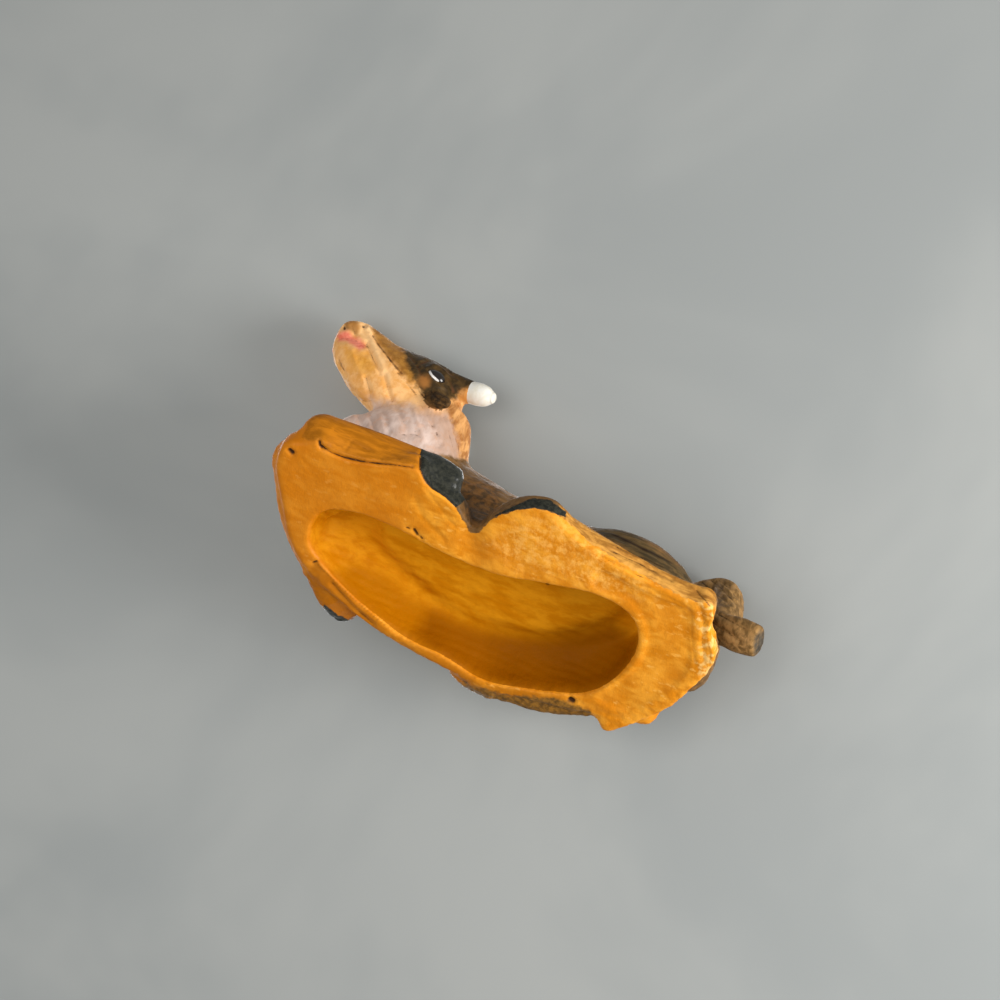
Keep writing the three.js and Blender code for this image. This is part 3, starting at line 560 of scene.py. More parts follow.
on_skull, on_column = among("head", "left_ear", "right_ear"), among("neck")
folded, folded_normals = points.copy(), normals.copy()
local = (points - HEAD_AT) @ HEAD_AXES.T
flip = np.where(local[:, :1] < 0, [[-1.0, 1, 1]], [[1.0, 1, 1]])
folded[on_skull] = (HEAD_AT + (local * flip) @ HEAD_AXES)[on_skull]
folded_normals[on_skull] = ((normals @ HEAD_AXES.T * flip) @ HEAD_AXES)[on_skull]
neck_share = np.clip((points[:, 2] - NECK_FOOT[2]) / (HEAD_AT[2] - NECK_FOOT[2]), 0, 1)
neck_x = NECK_FOOT[0] + (HEAD_AT[0] - NECK_FOOT[0]) * neck_share + 2.4 * (1 - neck_share)
far_side = on_column & (points[:, 0] < neck_x)
folded[far_side, 0] = 2 * neck_x[far_side] - points[far_side, 0]
folded_normals[far_side, 0] *= -1
pixel = pixel_of(folded)
shown = np.where(on_skull | on_column, facing(folded, folded_normals) > 0.02, seen > 0.5)


def line_distance(line, places):
    """Distance in pixels from each place to an open line."""
    best = np.full(len(places), 1e9)
    line = np.array(line, float)
    for a, b in zip(line[:-1], line[1:]):
        d = b - a
        t = np.clip(((places - a) @ d) / max(d @ d, 1e-9), 0, 1)
        best = np.minimum(best, np.linalg.norm(places - a - t[:, None] * d, axis=1))
    return best


def inside(outline, places):
    """Distance in pixels to a closed outline, positive inside it."""
    return -flat_distance(np.array(outline, float), places[:, 0], places[:, 1])


def wobble(p, size, seed):
    """Smooth random field with features of about the given size, within -1 to 1."""
    cells = np.random.default_rng(seed).uniform(-1, 1, (24, 24, 24))
    q = p / size
    i = np.floor(q).astype(int)
    return blended(cells, i, ease(q - i))


# Strokes cut or laid on the skin: line, half width and height in pixels, and how dark the painted shade in its bottom
# is
BODY_STROKES = [
    ([(319, 441), (319.5, 445), (321.5, 448.5)], 1.7, -3.0, 1.0),
    ([(322, 448), (331, 453), (345, 458), (359, 461), (377, 463), (395, 465), (412, 467)], 1.7, -3.0, 0.75),
    ([(421, 452), (421, 460), (421, 468), (425, 480), (431, 488), (445, 496), (456, 507)], 2.0, -2.4, 0.6),
    ([(289, 450), (292, 453)], 2.6, -3.5, 1.0),
    ([(414, 530), (417, 535)], 2.0, -2.2, 0.9), ([(420, 537), (422, 539)], 1.6, -2.0, 0.8),
    ([(406, 528), (409, 529)], 1.4, -1.6, 0.7), ([(546, 584), (548, 585)], 1.6, -2.4, 1.0),
    ([(570, 700), (573, 702)], 2.6, -4.0, 1.0), ([(313, 563), (317, 561)], 1.6, -2.2, 0.9),
    ([(593, 525), (623, 538), (657, 555), (682, 567)], 3.0, -1.2, 0.5),
    ([(609, 549), (640, 563), (672, 580)], 2.0, -1.6, 0.4), ([(618, 546), (650, 560), (676, 573)], 1.6, -1.4, 0.35),
    ([(600, 556), (628, 571), (655, 583)], 1.6, -1.2, 0.2),
    ([(318, 562), (350, 597), (380, 622), (394, 634), (418, 648), (460, 672), (500, 690), (560, 698)], 2.2, 1.7, 0.0),
    ([(332, 584), (352, 607), (372, 624)], 2.4, -1.8, 0.3), ([(400, 646), (430, 664), (466, 684)], 2.4, -1.8, 0.25),
    ([(630, 580), (657, 593), (683, 605), (691, 613), (692, 640), (695, 665)], 1.6, -0.9, 0.0),
    ([(705, 602), (712, 618), (708, 632), (714, 648), (711, 664)], 3.0, 1.5, 0.0),
    ([(700, 608), (704, 622), (702, 640), (704, 660)], 2.2, -1.5, 0.25),
    ([(334, 430), (352, 441), (368, 450)], 1.8, -0.8, 0.15), ([(352, 441), (346, 449)], 1.4, -0.8, 0.1),
    ([(390, 450), (402, 462)], 1.6, -0.8, 0.1), ([(415, 500), (424, 520), (444, 540)], 3.0, -0.8, 0.0),
    ([(425, 488), (440, 508), (455, 528)], 2.0, -0.8, 0.0), ([(355, 520), (400, 540), (440, 560)], 2.0, 0.6, 0.0),
    ([(697, 577), (712, 590), (730, 604)], 1.8, -1.6, 0.5), ([(705, 575), (722, 588), (736, 602)], 1.8, -1.5, 0.4),
    ([(716, 577), (730, 588), (742, 603)], 1.6, -1.4, 0.4), ([(697, 590), (710, 606)], 2.0, -1.6, 0.5),
    ([(716, 612), (730, 620), (744, 628)], 1.8, -1.4, 0.4), ([(712, 622), (726, 632), (740, 642)], 1.8, -1.4, 0.4),
]
HEAD_STROKES = [
    ([(337, 339), (344, 337), (352, 338), (359, 341), (366, 345)], 1.9, -1.8, 0.12),
    ([(340, 333), (346, 331), (352, 332), (359, 336), (365, 340)], 2.6, 1.0, 0.0),
    ([(341, 345), (349, 346), (357, 349), (363, 352)], 2.8, 1.0, 0.0),
    ([(363.5, 325), (364.5, 326)], 1.7, -2.4, 0.6), ([(342.5, 325), (343.5, 328)], 2.2, -2.6, 0.9),
    ([(362, 321), (367, 324), (367, 329)], 1.5, 0.9, 0.0),
    ([(352, 325), (354, 330), (355, 334)], 2.6, -1.2, 0.3),
    ([(367, 330), (371, 340), (377, 354), (384, 370)], 2.4, 1.4, 0.0),
    ([(373, 335), (384, 350), (394, 363), (402, 372)], 1.9, -2.6, 0.55),
    ([(367, 343), (373, 358), (380, 373)], 1.7, -2.0, 0.35),
    ([(338, 360), (346, 378), (354, 390), (361, 400)], 2.0, -2.2, 0.4),
    ([(352, 352), (356, 364), (362, 376)], 2.4, 1.2, 0.0), ([(349, 380), (358, 392), (364, 402)], 2.6, 1.6, 0.0),
    ([(366, 378), (369, 392), (371, 404)], 2.4, -1.8, 0.2), ([(384, 374), (388, 390), (392, 402)], 2.4, -1.6, 0.15),
    ([(398, 372), (408, 384), (416, 394)], 2.2, -1.4, 0.35),
    ([(427, 368), (434, 365), (443, 369), (449, 377)], 1.8, 1.7, 0.0),
    ([(426, 371), (430, 379), (437, 386), (446, 389)], 1.8, 1.5, 0.0),
    ([(418, 365), (424, 362), (432, 360)], 1.8, -1.2, 0.5), ([(448, 378), (452, 385), (454, 392)], 2.2, -1.6, 0.6),
    ([(432, 392), (438, 398), (446, 402)], 2.0, -1.8, 0.6), ([(428, 398), (436, 405), (447, 409)], 2.0, -1.6, 0.5),
    ([(419, 391), (425, 398), (430, 404)], 1.8, -1.4, 0.5),
    ([(410, 356), (418, 366), (421, 374)], 1.6, -1.2, 0.5), ([(440, 365), (450, 373), (462, 381)], 1.6, -1.2, 0.5),
]
NECK_STROKES = [
    ([(370, 405), (371, 416), (374, 430)], 2.6, -1.8, 0.12), ([(380, 402), (384, 414), (389, 430)], 3.0, -1.4, 0.05),
    ([(356, 412), (360, 420), (368, 429)], 2.6, -1.4, 0.1), ([(395, 404), (402, 418), (410, 436)], 3.0, -1.2, 0.06),
    ([(420, 402), (430, 420), (440, 444)], 3.0, -1.2, 0.1), ([(432, 423), (433, 425)], 1.4, -1.0, 0.5),
    ([(437, 431), (438, 434)], 1.3, -1.0, 0.5), ([(442, 441), (443, 444)], 1.2, -1.0, 0.4),
    ([(402, 434), (405, 434)], 1.2, -0.8, 0.3), ([(411, 433), (418, 435)], 1.1, -0.8, 0.3),
    ([(451, 418), (455, 432), (460, 446), (461, 464)], 2.0, -2.2, 0.2),
    ([(444, 416), (449, 430), (454, 448), (456, 464)], 2.0, -1.4, 0.1),
    ([(458, 414), (464, 430), (466, 450)], 1.6, -1.0, 0.1), ([(414, 410), (418, 424), (424, 440)], 2.0, 0.9, 0.0),
]
square_on = ease((facing(folded, folded_normals) - 0.1) / 0.3)
cut_shade = np.full(len(points), -9.0)
push = np.zeros(len(points))
groups = [(BODY_STROKES, shown & ~on_skull & ~on_column), (HEAD_STROKES, shown & on_skull),
          (NECK_STROKES, shown & on_column)]
for strokes, where in groups:
    for line, half, height, dark in strokes:
        line = np.array(line, float)
        box = (pixel > line.min(0) - 14).all(1) & (pixel < line.max(0) + 14).all(1) & where
        chosen = np.flatnonzero(box)
        if not len(chosen):
            continue
        d = line_distance(line, pixel[chosen]) + 0.5 * wobble(folded[chosen], 1.1, 3) + 0.4 * wobble(
            folded[chosen], 2.7, 4)
        push[chosen] += height / SCALE * np.exp(-((d / half) ** 2)) * square_on[chosen]
        # The stroke's dark bottom is painted shade in the cut
        if dark:
            cut_shade[chosen] = np.maximum(cut_shade[chosen], (half * 0.9 - d) / half + (dark - 1) - 1.5 * (1 - square_on[chosen]))

# Lumps: soft ones all over, rough ones on the worn flank and rear edge
lumps = 0.10 * wobble(points, 5.0, 11) + 0.05 * wobble(points, 1.7, 12)
flank = np.exp(-((line_distance([(300, 575), (345, 622), (410, 655), (475, 696), (570, 708), (640, 728), (700, 690),
                                 (714, 640)], pixel) / 16) ** 2)) * shown * ~(on_skull | on_column)
rough = 0.16 * wobble(points, 1.1, 13) + 0.1 * wobble(points, 0.7, 14)
notch = np.exp(-((line_distance([(440, 515), (475, 540), (540, 520), (590, 545), (690, 600)], pixel) / 15) ** 2))
flank = np.maximum(flank, 0.55 * notch * shown * ~(on_skull | on_column))
ground_face = points[:, 2] < 1.0
push += lumps * np.where(ground_face, 0.5, 1.0) + rough * flank
# Brushed hair on the coat: shallow furrows that run to the rear
coat = ~(on_skull | on_column) & (points[:, 2] > 3)
furrow = np.sin(points[:, 0] * 2.6 + points[:, 2] * 2.2 + 2.5 * wobble(points, 6.0, 15))
push += np.where(coat, 0.07 * furrow * (0.5 + 0.5 * wobble(points * [1, 0.25, 1], 1.6, 16)), 0)
push = np.where(points[:, 2] < 0.35, np.clip(push, None, 0), push)
points = points + normals * push[:, None]
points[:, 2] = np.maximum(points[:, 2], 0)
tree = BVHTree.FromPolygons(points.tolist(), quads.tolist())
smooth_normals = point_normals(points, quads)

# Ridges and hollows of the skin, from how it bends
bend = np.zeros(len(points))
count = np.zeros(len(points))
for k in range(4):
    other = quads[:, (k + 1) % 4]
    for i, j in ((quads[:, k], other), (other, quads[:, k])):
        gap = ((points[j] - points[i]) * smooth_normals[i]).sum(1)
        bend += np.bincount(i, -gap, len(points))
        count += np.bincount(i, minlength=len(points))
bend = bend / np.maximum(count, 1) / VOXEL**2
for _ in range(4):
    total, count = np.zeros(len(points)), np.zeros(len(points))
    for k in range(4):
        total += np.bincount(quads[:, k], bend[quads].mean(1), len(points))
        count += np.bincount(quads[:, k], minlength=len(points))
    bend = total / np.maximum(count, 1)


# Painted areas: outlines in the photograph's pixels where it shows them, else by height
OCHRE = [
    (288, 420), (300, 425), (308, 408), (325, 406), (347, 412), (379, 425), (397, 431), (411, 439), (421, 447),
    (421, 468), (425, 480), (431, 488), (445, 496), (456, 507), (463, 520), (471, 533), (480, 532), (489, 521),
    (500, 515), (515, 510), (535, 508), (550, 511), (565, 519), (590, 543), (612, 557), (640, 574), (660, 585),
    (680, 595), (697, 603), (712, 603), (718, 612), (716, 640), (720, 656), (718, 670), (706, 690), (690, 704),
    (676, 716), (657, 728), (640, 738), (620, 748), (600, 748), (585, 735), (570, 722), (540, 718), (500, 716),
    (470, 706), (440, 692), (410, 674), (380, 656), (350, 640), (325, 622), (300, 600), (280, 550), (264, 505),
    (258, 470), (260, 445), (272, 425),
]
BLACK_HOOF = [(421, 447), (439, 456), (457, 465), (467, 474), (465, 500), (456, 508), (445, 497), (432, 489),
              (425, 480), (421, 468)]
BLACK_STRIP = [(492, 517), (505, 510), (520, 503), (531, 498), (550, 500), (566, 512), (566, 518), (550, 511),
               (535, 508), (515, 510), (500, 515)]
BLACK_PATCH = [(324, 604), (338, 615), (352, 621), (361, 628), (358, 636), (340, 634), (322, 618)]
# Painted shade on the belly, recessed between the hoofs
BELLY_SHADE = [(462, 478), (480, 478), (500, 486), (500, 508), (489, 518), (478, 530), (470, 530), (463, 518)]
SHANK_BAND = [(560, 506), (590, 522), (625, 537), (660, 553), (690, 569), (716, 588), (718, 614), (697, 608),
              (680, 602), (640, 582), (612, 566), (590, 552), (562, 526)]
# Painted shade in the crevice between the haunch and the hind shank
CREVICE_SHADE = [(588, 520), (606, 516), (632, 524), (640, 536), (655, 548), (676, 562), (702, 582), (696, 592), (676, 579),
           (648, 562), (620, 546), (600, 534)]
PALE = [(490, 545), (512, 522), (540, 516), (566, 526), (600, 552), (640, 582), (652, 600), (610, 592), (560, 574),
        (515, 568)]
# Painted shade on the outer flank beyond the hollow's lower ridge
OUTER_FLANK_SHADE = [(318, 562), (335, 582), (365, 610), (394, 634), (437, 655), (485, 684), (540, 693), (575, 698), (560, 712),
         (500, 708), (440, 690), (400, 668), (360, 642), (320, 612), (300, 580)]
REAR_RIM = [(686, 598), (714, 600), (724, 640), (722, 672), (704, 688), (696, 664), (700, 640), (694, 618)]
OLIVE = [(445, 678), (480, 688), (505, 695), (556, 698), (590, 710), (601, 733), (600, 750), (560, 735), (500, 722),
         (445, 705)]
# Painted shade on the left foreleg's side wall, which faces away from the light
LEG_SIDE_SHADE = [(303, 437), (312, 410), (347, 412), (411, 439), (421, 447), (421, 470), (409, 466), (395, 465), (359, 461),
            (331, 453), (319, 441), (308, 440)]
# Painted shade in the hollow: the trench along its lower wall, darkest at the deep rear that the rim shades
TRENCH_SHADE = [(330, 572), (352, 562), (378, 572), (400, 590), (430, 606), (470, 624), (510, 634), (550, 636), (585, 630),
          (612, 622), (640, 636), (642, 664), (616, 694), (582, 704), (525, 700), (480, 690), (445, 672), (412, 655),
          (380, 630), (350, 605)]
DEEP_SHADE = [(430, 613), (470, 628), (510, 637), (550, 639), (585, 632), (612, 624), (632, 640), (634, 660), (614, 684),
        (582, 691), (525, 688), (480, 678), (445, 660), (412, 634)]
FOREHEAD = [(402, 338), (404, 352), (407, 363), (412, 375), (418, 388), (425, 398), (432, 406), (444, 412), (454, 416),
            (460, 408), (458, 398), (461, 391), (474, 388), (480, 370), (450, 350), (420, 335)]
BRIDGE = [(366, 310), (374, 334), (380, 344), (389, 356), (400, 369), (411, 384), (418, 376), (420, 350), (400, 325)]
LIPS = [(336, 335), (342, 331), (349, 331), (353, 336), (360, 339), (366, 344), (365, 349), (359, 350.5), (352, 345),
        (346, 341), (338, 341)]
JAW = [(346, 351), (356, 353), (368, 353), (374, 358), (377, 366), (372, 374), (362, 374), (352, 367), (346, 359)]
ORANGE = [(418, 379), (421, 375), (427, 376), (430, 381), (429, 386), (424, 388), (419, 385)]
HORN_ROOT_PATCH = [(460, 390), (467, 388), (476, 389), (476, 410), (466, 406), (459, 400)]
# Painted highlight along the ridge of the cheek
CHEEK_HIGHLIGHT = [(362, 318), (371, 327), (376, 342), (383, 357), (392, 376), (388, 384), (378, 366), (370, 348), (361, 331)]
SNOUT_SHADE = [(344, 322), (356, 318), (360, 328), (357, 335), (350, 331), (344, 328)]
NAPE = [(436, 400), (446, 408), (452, 420), (458, 438), (460, 456), (460, 475), (490, 475), (490, 400)]


def painted(outline, where):
    """Signed distance to a painted outline, in millimetres and positive inside it."""
    values = np.full(len(points), FAR_OUT)
    chosen = np.flatnonzero(where)
    values[chosen] = np.clip(inside(outline, pixel[chosen]), -30, 30) / SCALE
    return values


def joined(outline, hidden):
    """A painted outline where the head faces the photograph, and the given values on its hidden top."""
    values = turned * np.clip(painted(outline, on_skull), -4, 4) + (1 - turned) * np.clip(hidden, -4, 4)
    return np.where(on_skull, values, FAR_OUT)


FAR_OUT = -9.0  # stands for a place well outside every painted area
height = points[:, 2]
body_part = ~on_skull & ~on_column
in_hollow = (looked_up(recess, points) < 2.0) & (height > 0.8)
on_body_seen, on_skull_seen = shown & body_part, shown & on_skull
in_hollow_seen, on_rim_seen = on_body_seen & in_hollow, on_body_seen & ~in_hollow
left_side = body_part & (points[:, 0] > 4)
turned = ease((facing(folded, folded_normals) + 0.1) / 0.2)
rest_gap, neck_gap, head_gap, hoof_gap = (looked_up(own[part], points) for part in ("rest", "neck", "head", "hoof"))

# Ochre by height where hidden; on the coat's side it ends at a height, lower at the rear
ochre = np.where(in_hollow, 4.0, 2.6 + 5.5 * ease((-20 - points[:, 1]) / 7) - height)
ochre = np.where(on_rim_seen, painted(OCHRE, on_body_seen), ochre)
ochre = np.minimum(ochre, 12 - height - 6 * ease((points[:, 1] - 28) / 6) + 9 * in_hollow)
ochre = np.where(body_part, ochre, FAR_OUT)
black = np.where(~shown & (hoof_gap < 1.4), np.minimum(rest_gap - hoof_gap + 0.4, height - 2.6), FAR_OUT)
black = np.maximum.reduce([
    black, np.minimum(painted(BLACK_HOOF, on_body_seen), 12.5 - height),
    painted(BLACK_STRIP, on_body_seen), painted(BLACK_PATCH, on_body_seen)])
forehead = joined(FOREHEAD, np.minimum((local[:, 1] + 11.0) * 0.8, (neck_gap - head_gap - 0.7) * 1.5))
forehead = np.where(among("left_ear", "right_ear") & ~shown, 3.0, forehead)
neck_back = (points[:, 1] - (NECK_FOOT[1] + 2 + (HEAD_AT[1] - NECK_FOOT[1]) * neck_share)) / 9.0
nape = np.where(~body_part & (~shown | far_side), (neck_back - 0.1) * 5, painted(NAPE, shown & ~body_part))
nape = np.where(on_skull, np.minimum(nape, (1.5 - neck_gap + head_gap) * 2), nape)
PAINT = {key: painted(outline, where) for where, areas in (
    (on_body_seen, {"belly_shade": BELLY_SHADE, "olive": OLIVE, "leg_side": LEG_SIDE_SHADE, "rear": REAR_RIM}),
    (in_hollow_seen, {"deep": DEEP_SHADE, "trench_shade": TRENCH_SHADE}), (on_rim_seen, {"ridge": OUTER_FLANK_SHADE, "pale": PALE}),
    (on_skull_seen, {"lips": LIPS, "jaw": JAW, "cheek_highlight": CHEEK_HIGHLIGHT, "shade": SNOUT_SHADE}),
) for key, outline in areas.items()}
PAINT |= {
    "ochre": ochre, "black": black, "cut_shade": cut_shade, "bend": np.clip(bend, -3, 3), "forehead": forehead, "nape": nape,
    "bridge": joined(BRIDGE, np.minimum(local[:, 2] - 1.5, local[:, 1] + 25) * 0.9),
    "shank": np.minimum(painted(SHANK_BAND, left_side), 11 - height),
    "crevice_shade": np.minimum(painted(CREVICE_SHADE, left_side), height - 8),
    "inner": np.where(in_hollow, height - 1.2, -3.0), "front": -22 - points[:, 1],
    "orange": np.maximum(painted(ORANGE, on_skull_seen), painted(HORN_ROOT_PATCH, on_skull_seen)),
    "collar": rest_gap - neck_gap - 0.9, "throat": (pixel[:, 1] - 402 - 0.12 * (pixel[:, 0] - 380)) / SCALE,
    "tail": np.where(among("tail", "tail_tuft"), 3.0, -3.0),
    "tip": np.where(among("tail_tuft"), (points - TAIL_END) @ TUFT_WAY - 9.6, FAR_OUT),
}

# Each face's colour group; the seam between two pieces only follows the nearest form
SLOTS = dict.fromkeys(PIECES, "hair_paint") | {
    "body_casting": "body_paint", "neck": "dewlap_paint", "head": "head_paint"} | {
    name: "hoof_paint" for name in PIECES if name.endswith("hoof")}


def srgb(*levels):
    """Linear colour with alpha from the levels of a shown colour."""
    return tuple(c / 255 / 12.92 if c / 255 <= 0.04045 else ((c / 255 + 0.055) / 1.055) ** 2.4 for c in levels) + (1.0,)


class Paint:
    """A node material built up in layers of colour over one shader."""

    def __init__(self, name, gloss=0.22):
        self.material = materials[name] = bpy.data.materials.new(name)
        self.material.use_nodes = True
        self.nodes, self.links = self.material.node_tree.nodes, self.material.node_tree.links
        self.shader = self.nodes["Principled BSDF"].inputs
        self.shader["Specular IOR Level"].default_value = gloss
        self.place = self.nodes.new("ShaderNodeTexCoord").outputs["Object"]
        self.colour = None

    def put(self, kind, values, out=0, **settings):
        """The wanted output of a new node, with its inputs given by name or number."""
        node = self.nodes.new(kind)
        for key, value in settings.items():
            setattr(node, key, value)
        for key, value in values.items():
            if isinstance(value, bpy.types.NodeSocket):
                self.links.new(value, node.inputs[key])
            else:
                node.inputs[key].default_value = value
        return node.outputs[out]

    def noise(self, size, stretch=None, detail=3.0, rough=0.55, twist=0.0):
        """Noise with features of the given size in millimetres."""
        place = self.put("ShaderNodeMapping", {"Vector": self.place, "Scale": stretch}) if stretch else self.place
        return self.put("ShaderNodeTexNoise", {"Vector": place, "Scale": 1 / (size * MM), "Detail": detail,
                                               "Roughness": rough, "Distortion": twist}, "Fac")

    def ranged(self, value, low, high, to_low=0.0, to_high=1.0):
        return self.put("ShaderNodeMapRange", {
            "Value": value, "From Min": low, "From Max": high, "To Min": to_low, "To Max": to_high,
        }, interpolation_type="SMOOTHSTEP")

    def mask(self, name):
        return self.put("ShaderNodeAttribute", {}, "Fac", attribute_name=name)

    def math(self, operation, *values):
        return self.put("ShaderNodeMath", dict(enumerate(values)), operation=operation)

    def mix(self, share, a, b):
        """Two colours mixed, each a socket or the levels of a shown colour."""
        a, b = (srgb(*c) if isinstance(c, tuple) else c for c in (a, b))
        return self.put("ShaderNodeMix", {0: share, 6: a, 7: b}, 2, data_type="RGBA")

    def brushed(self, dark, light, size, stretch=None, low=0.36, high=0.64):
        """Two tones of one paint, mixed by the strokes of the brush."""
        return self.mix(self.ranged(self.noise(size, stretch, 4.0, 0.6, 0.4), low, high), dark, light)

    def edge(self, name, width, ragged=0.0, size=1.5, share=1.0):
        """Share of a painted area: its own edge, broken up by noise."""
        value = self.mask(name)
        if ragged:
            offset = self.math("SUBTRACT", self.noise(size, detail=4.0), 0.5)
            value = self.math("MULTIPLY_ADD", offset, ragged, value)
        return self.ranged(value, -width, width, 0.0, share)

    def layer(self, share, colour):
        self.colour = self.mix(share, self.colour, colour)

    def area(self, name, colour, *edge, share=1.0):
        self.layer(self.edge(name, *edge, share=share), colour)

    def spots(self, colour, share, low, high, *noise, **more):
        """Spots of a colour where the noise is high."""
        self.layer(self.ranged(self.noise(*noise, **more), low, high, 0.0, share), colour)

    def worn_area(self, edge, spots, colour):
        self.layer(self.math("MULTIPLY", edge, spots), colour)

    def finish(self, rough, bump, stretch=None, worn=None, groove_colour=None, cut_shade=(38, 24, 14)):
        """Darker colour in grooves, wear along ridges, painted shade in cuts, then roughness and bump."""
        if groove_colour:
            # Darker colour where the skin bends inward
            self.layer(self.ranged(self.mask("bend"), -0.12, -0.7, 0.0, 0.6), groove_colour)
        if worn:
            ridge = self.ranged(self.mask("bend"), 0.26, 1.0)
            self.worn_area(ridge, self.ranged(self.noise(0.9, detail=4.0), 0.42, 0.62), worn)
        # Painted shade in the bottoms of cuts and pits
        self.layer(self.ranged(self.mask("cut_shade"), -0.25, 0.55), cut_shade)
        self.links.new(self.colour, self.shader["Base Color"])
        self.links.new(self.ranged(self.noise(2.2, detail=2.0), 0.3, 0.7, *rough), self.shader["Roughness"])
        height = self.math("MULTIPLY_ADD", self.noise(0.35, stretch), 0.35, self.noise(1.6, stretch))
        bumped = self.put("ShaderNodeBump", {"Height": height, "Strength": bump, "Distance": 0.25 * MM})
        self.links.new(bumped, self.shader["Normal"])


materials = {}
ALONG, HALF_ALONG, UPRIGHT = (1.0, 0.22, 1.0), (1.0, 0.5, 1.0), (1.0, 1.0, 0.3)  # how strokes are drawn out


def coat_colour(paint):
    paint.colour = paint.brushed((84, 61, 35), (136, 99, 55), 2.4, ALONG, 0.3, 0.7)
    paint.spots((164, 122, 68), 0.45, 0.56, 0.72, 1.1, ALONG)
    paint.spots((72, 53, 32), 0.45, 0.5, 0.66, 8.0)
    paint.area("shank", paint.brushed((148, 98, 36), (206, 148, 66), 1.6, ALONG), 0.6, 1.6, share=0.95)
    # Painted shade in the crevice between the haunch and the hind shank
    paint.area("crevice_shade", paint.brushed((50, 44, 28), (92, 74, 44), 1.2, ALONG), 0.8, 2.4, share=0.85)
    # Painted shade on the belly between the hoofs, darker than the coat
    paint.area("belly_shade", paint.brushed((50, 36, 20), (122, 80, 36), 1.4), 1.0, 2.0, share=0.7)


def ochre_layer(paint):
    """The underside's ochre, laid over the coat with a ragged edge, with painted shade on the foreleg's side, on the
    outer flank and in the hollow.
    """
    under = paint.colour
    paint.colour = paint.brushed((200, 122, 14), (224, 150, 42), 2.8, (1.0, 0.45, 1.0))
    paint.spots((194, 114, 8), 0.6, 0.46, 0.62, 9.0)
    paint.spots((240, 178, 84), 0.5, 0.6, 0.7, 1.6, HALF_ALONG, 5.0)
    paint.area("front", (184, 104, 6), 6.0, 4.0, 5.0, share=0.6)
    paint.worn_area(paint.edge("pale", 2.5, 4.0, 3.0),
                    paint.ranged(paint.noise(1.7, None, 7.0, 0.7), 0.42, 0.66, 0.0, 0.6), (238, 178, 88))
    # Painted shade on the left foreleg's side wall
    paint.area("leg_side", paint.brushed((148, 88, 6), (184, 112, 18), 1.4, ALONG), 0.4, 0.6, share=0.9)
    # Inside the hollow a smoother, darker ochre: part its own paint, part painted shade of the recess
    paint.area("inner", paint.brushed((186, 112, 4), (204, 132, 16), 3.0, (1.0, 0.4, 1.0)), 0.5, 0.8)
    paint.worn_area(paint.edge("rear", 0.8, 1.6),
                    paint.ranged(paint.noise(1.8, None, 5.0), 0.46, 0.64), (232, 184, 106))
    # Painted shade on the outer flank beyond the lower ridge (the "ridge" area)
    paint.area("ridge", (160, 92, 4), 0.6, 1.6, share=0.6)
    # Painted shade in the hollow's trench, and darker still in its deep rear
    paint.area("trench_shade", (160, 94, 0), 2.2, 1.0, 4.0, share=0.85)
    paint.area("deep", (134, 74, 0), 2.4, 1.0, 4.0, share=0.9)
    paint.area("olive", paint.brushed((90, 64, 28), (140, 98, 38), 1.2), 0.5, 2.0, share=0.95)
    paint.colour = paint.mix(paint.edge("ochre", 0.12, 1.6, 1.6), under, paint.colour)


def black_layer(paint):
    paint.area("black", paint.brushed((28, 30, 26), (50, 50, 42), 0.8), 0.1, 0.7, 0.9)


def skin_colour(paint):
    """Peach of the face, which turns to the dewlap's pinkish white below the jaw, with painted shade on the dewlap
    towards the nape.
    """
    paint.colour = paint.brushed((228, 162, 86), (242, 188, 124), 2.4)
    paint.spots((214, 144, 70), 0.4, 0.55, 0.68, 1.2, detail=4.0)
    pale = paint.brushed((204, 174, 158), (226, 202, 190), 1.8, (1.0, 1.0, 0.35), 0.3, 0.7)
    pale = paint.mix(paint.ranged(paint.noise(2.6), 0.52, 0.66, 0.0, 0.5), pale, (218, 170, 140))
    # Painted shade: the dewlap's pale darkens towards the nape
    pale = paint.mix(paint.ranged(paint.mask("nape"), -7.0, -1.0, 0.0, 0.75), pale, (176, 138, 112))
    paint.area("throat", pale, 2.2, 3.6, 2.5)


def nape_colour(paint):
    paint.area("nape", paint.brushed((160, 104, 52), (212, 156, 96), 1.6, UPRIGHT), 0.8, 2.0)


paint = Paint("body_paint", 0.1)
coat_colour(paint)
ochre_layer(paint)
black_layer(paint)
paint.links.new(paint.ranged(paint.mask("inner"), -0.5, 2.5, 0.12, 0.02), paint.shader["Specular IOR Level"])
paint.finish((0.4, 0.56), 0.7, worn=(244, 194, 112), groove_colour=(120, 64, 4), cut_shade=(58, 32, 10))

paint = Paint("hair_paint", 0.1)
coat_colour(paint)
ochre_layer(paint)
paint.area("forehead", paint.brushed((48, 35, 20), (90, 64, 34), 1.0), 0.2, 0.8)
black_layer(paint)
paint.area("tail", paint.brushed((96, 72, 38), (166, 128, 78), 1.3, UPRIGHT, 0.34, 0.66), 1.0, share=0.8)
paint.area("tip", paint.brushed((50, 46, 40), (80, 72, 60), 1.0), 0.3, 0.8)
paint.finish((0.5, 0.7), 0.7, ALONG, (172, 128, 74), (46, 32, 18))

paint = Paint("hoof_paint", 0.3)
paint.colour = paint.brushed((22, 24, 20), (48, 48, 40), 0.9)
paint.spots((120, 84, 36), 1.0, 0.66, 0.74, 0.5, detail=5.0)
ochre_layer(paint)
black_layer(paint)
paint.finish((0.24, 0.42), 0.5, worn=(96, 86, 66))

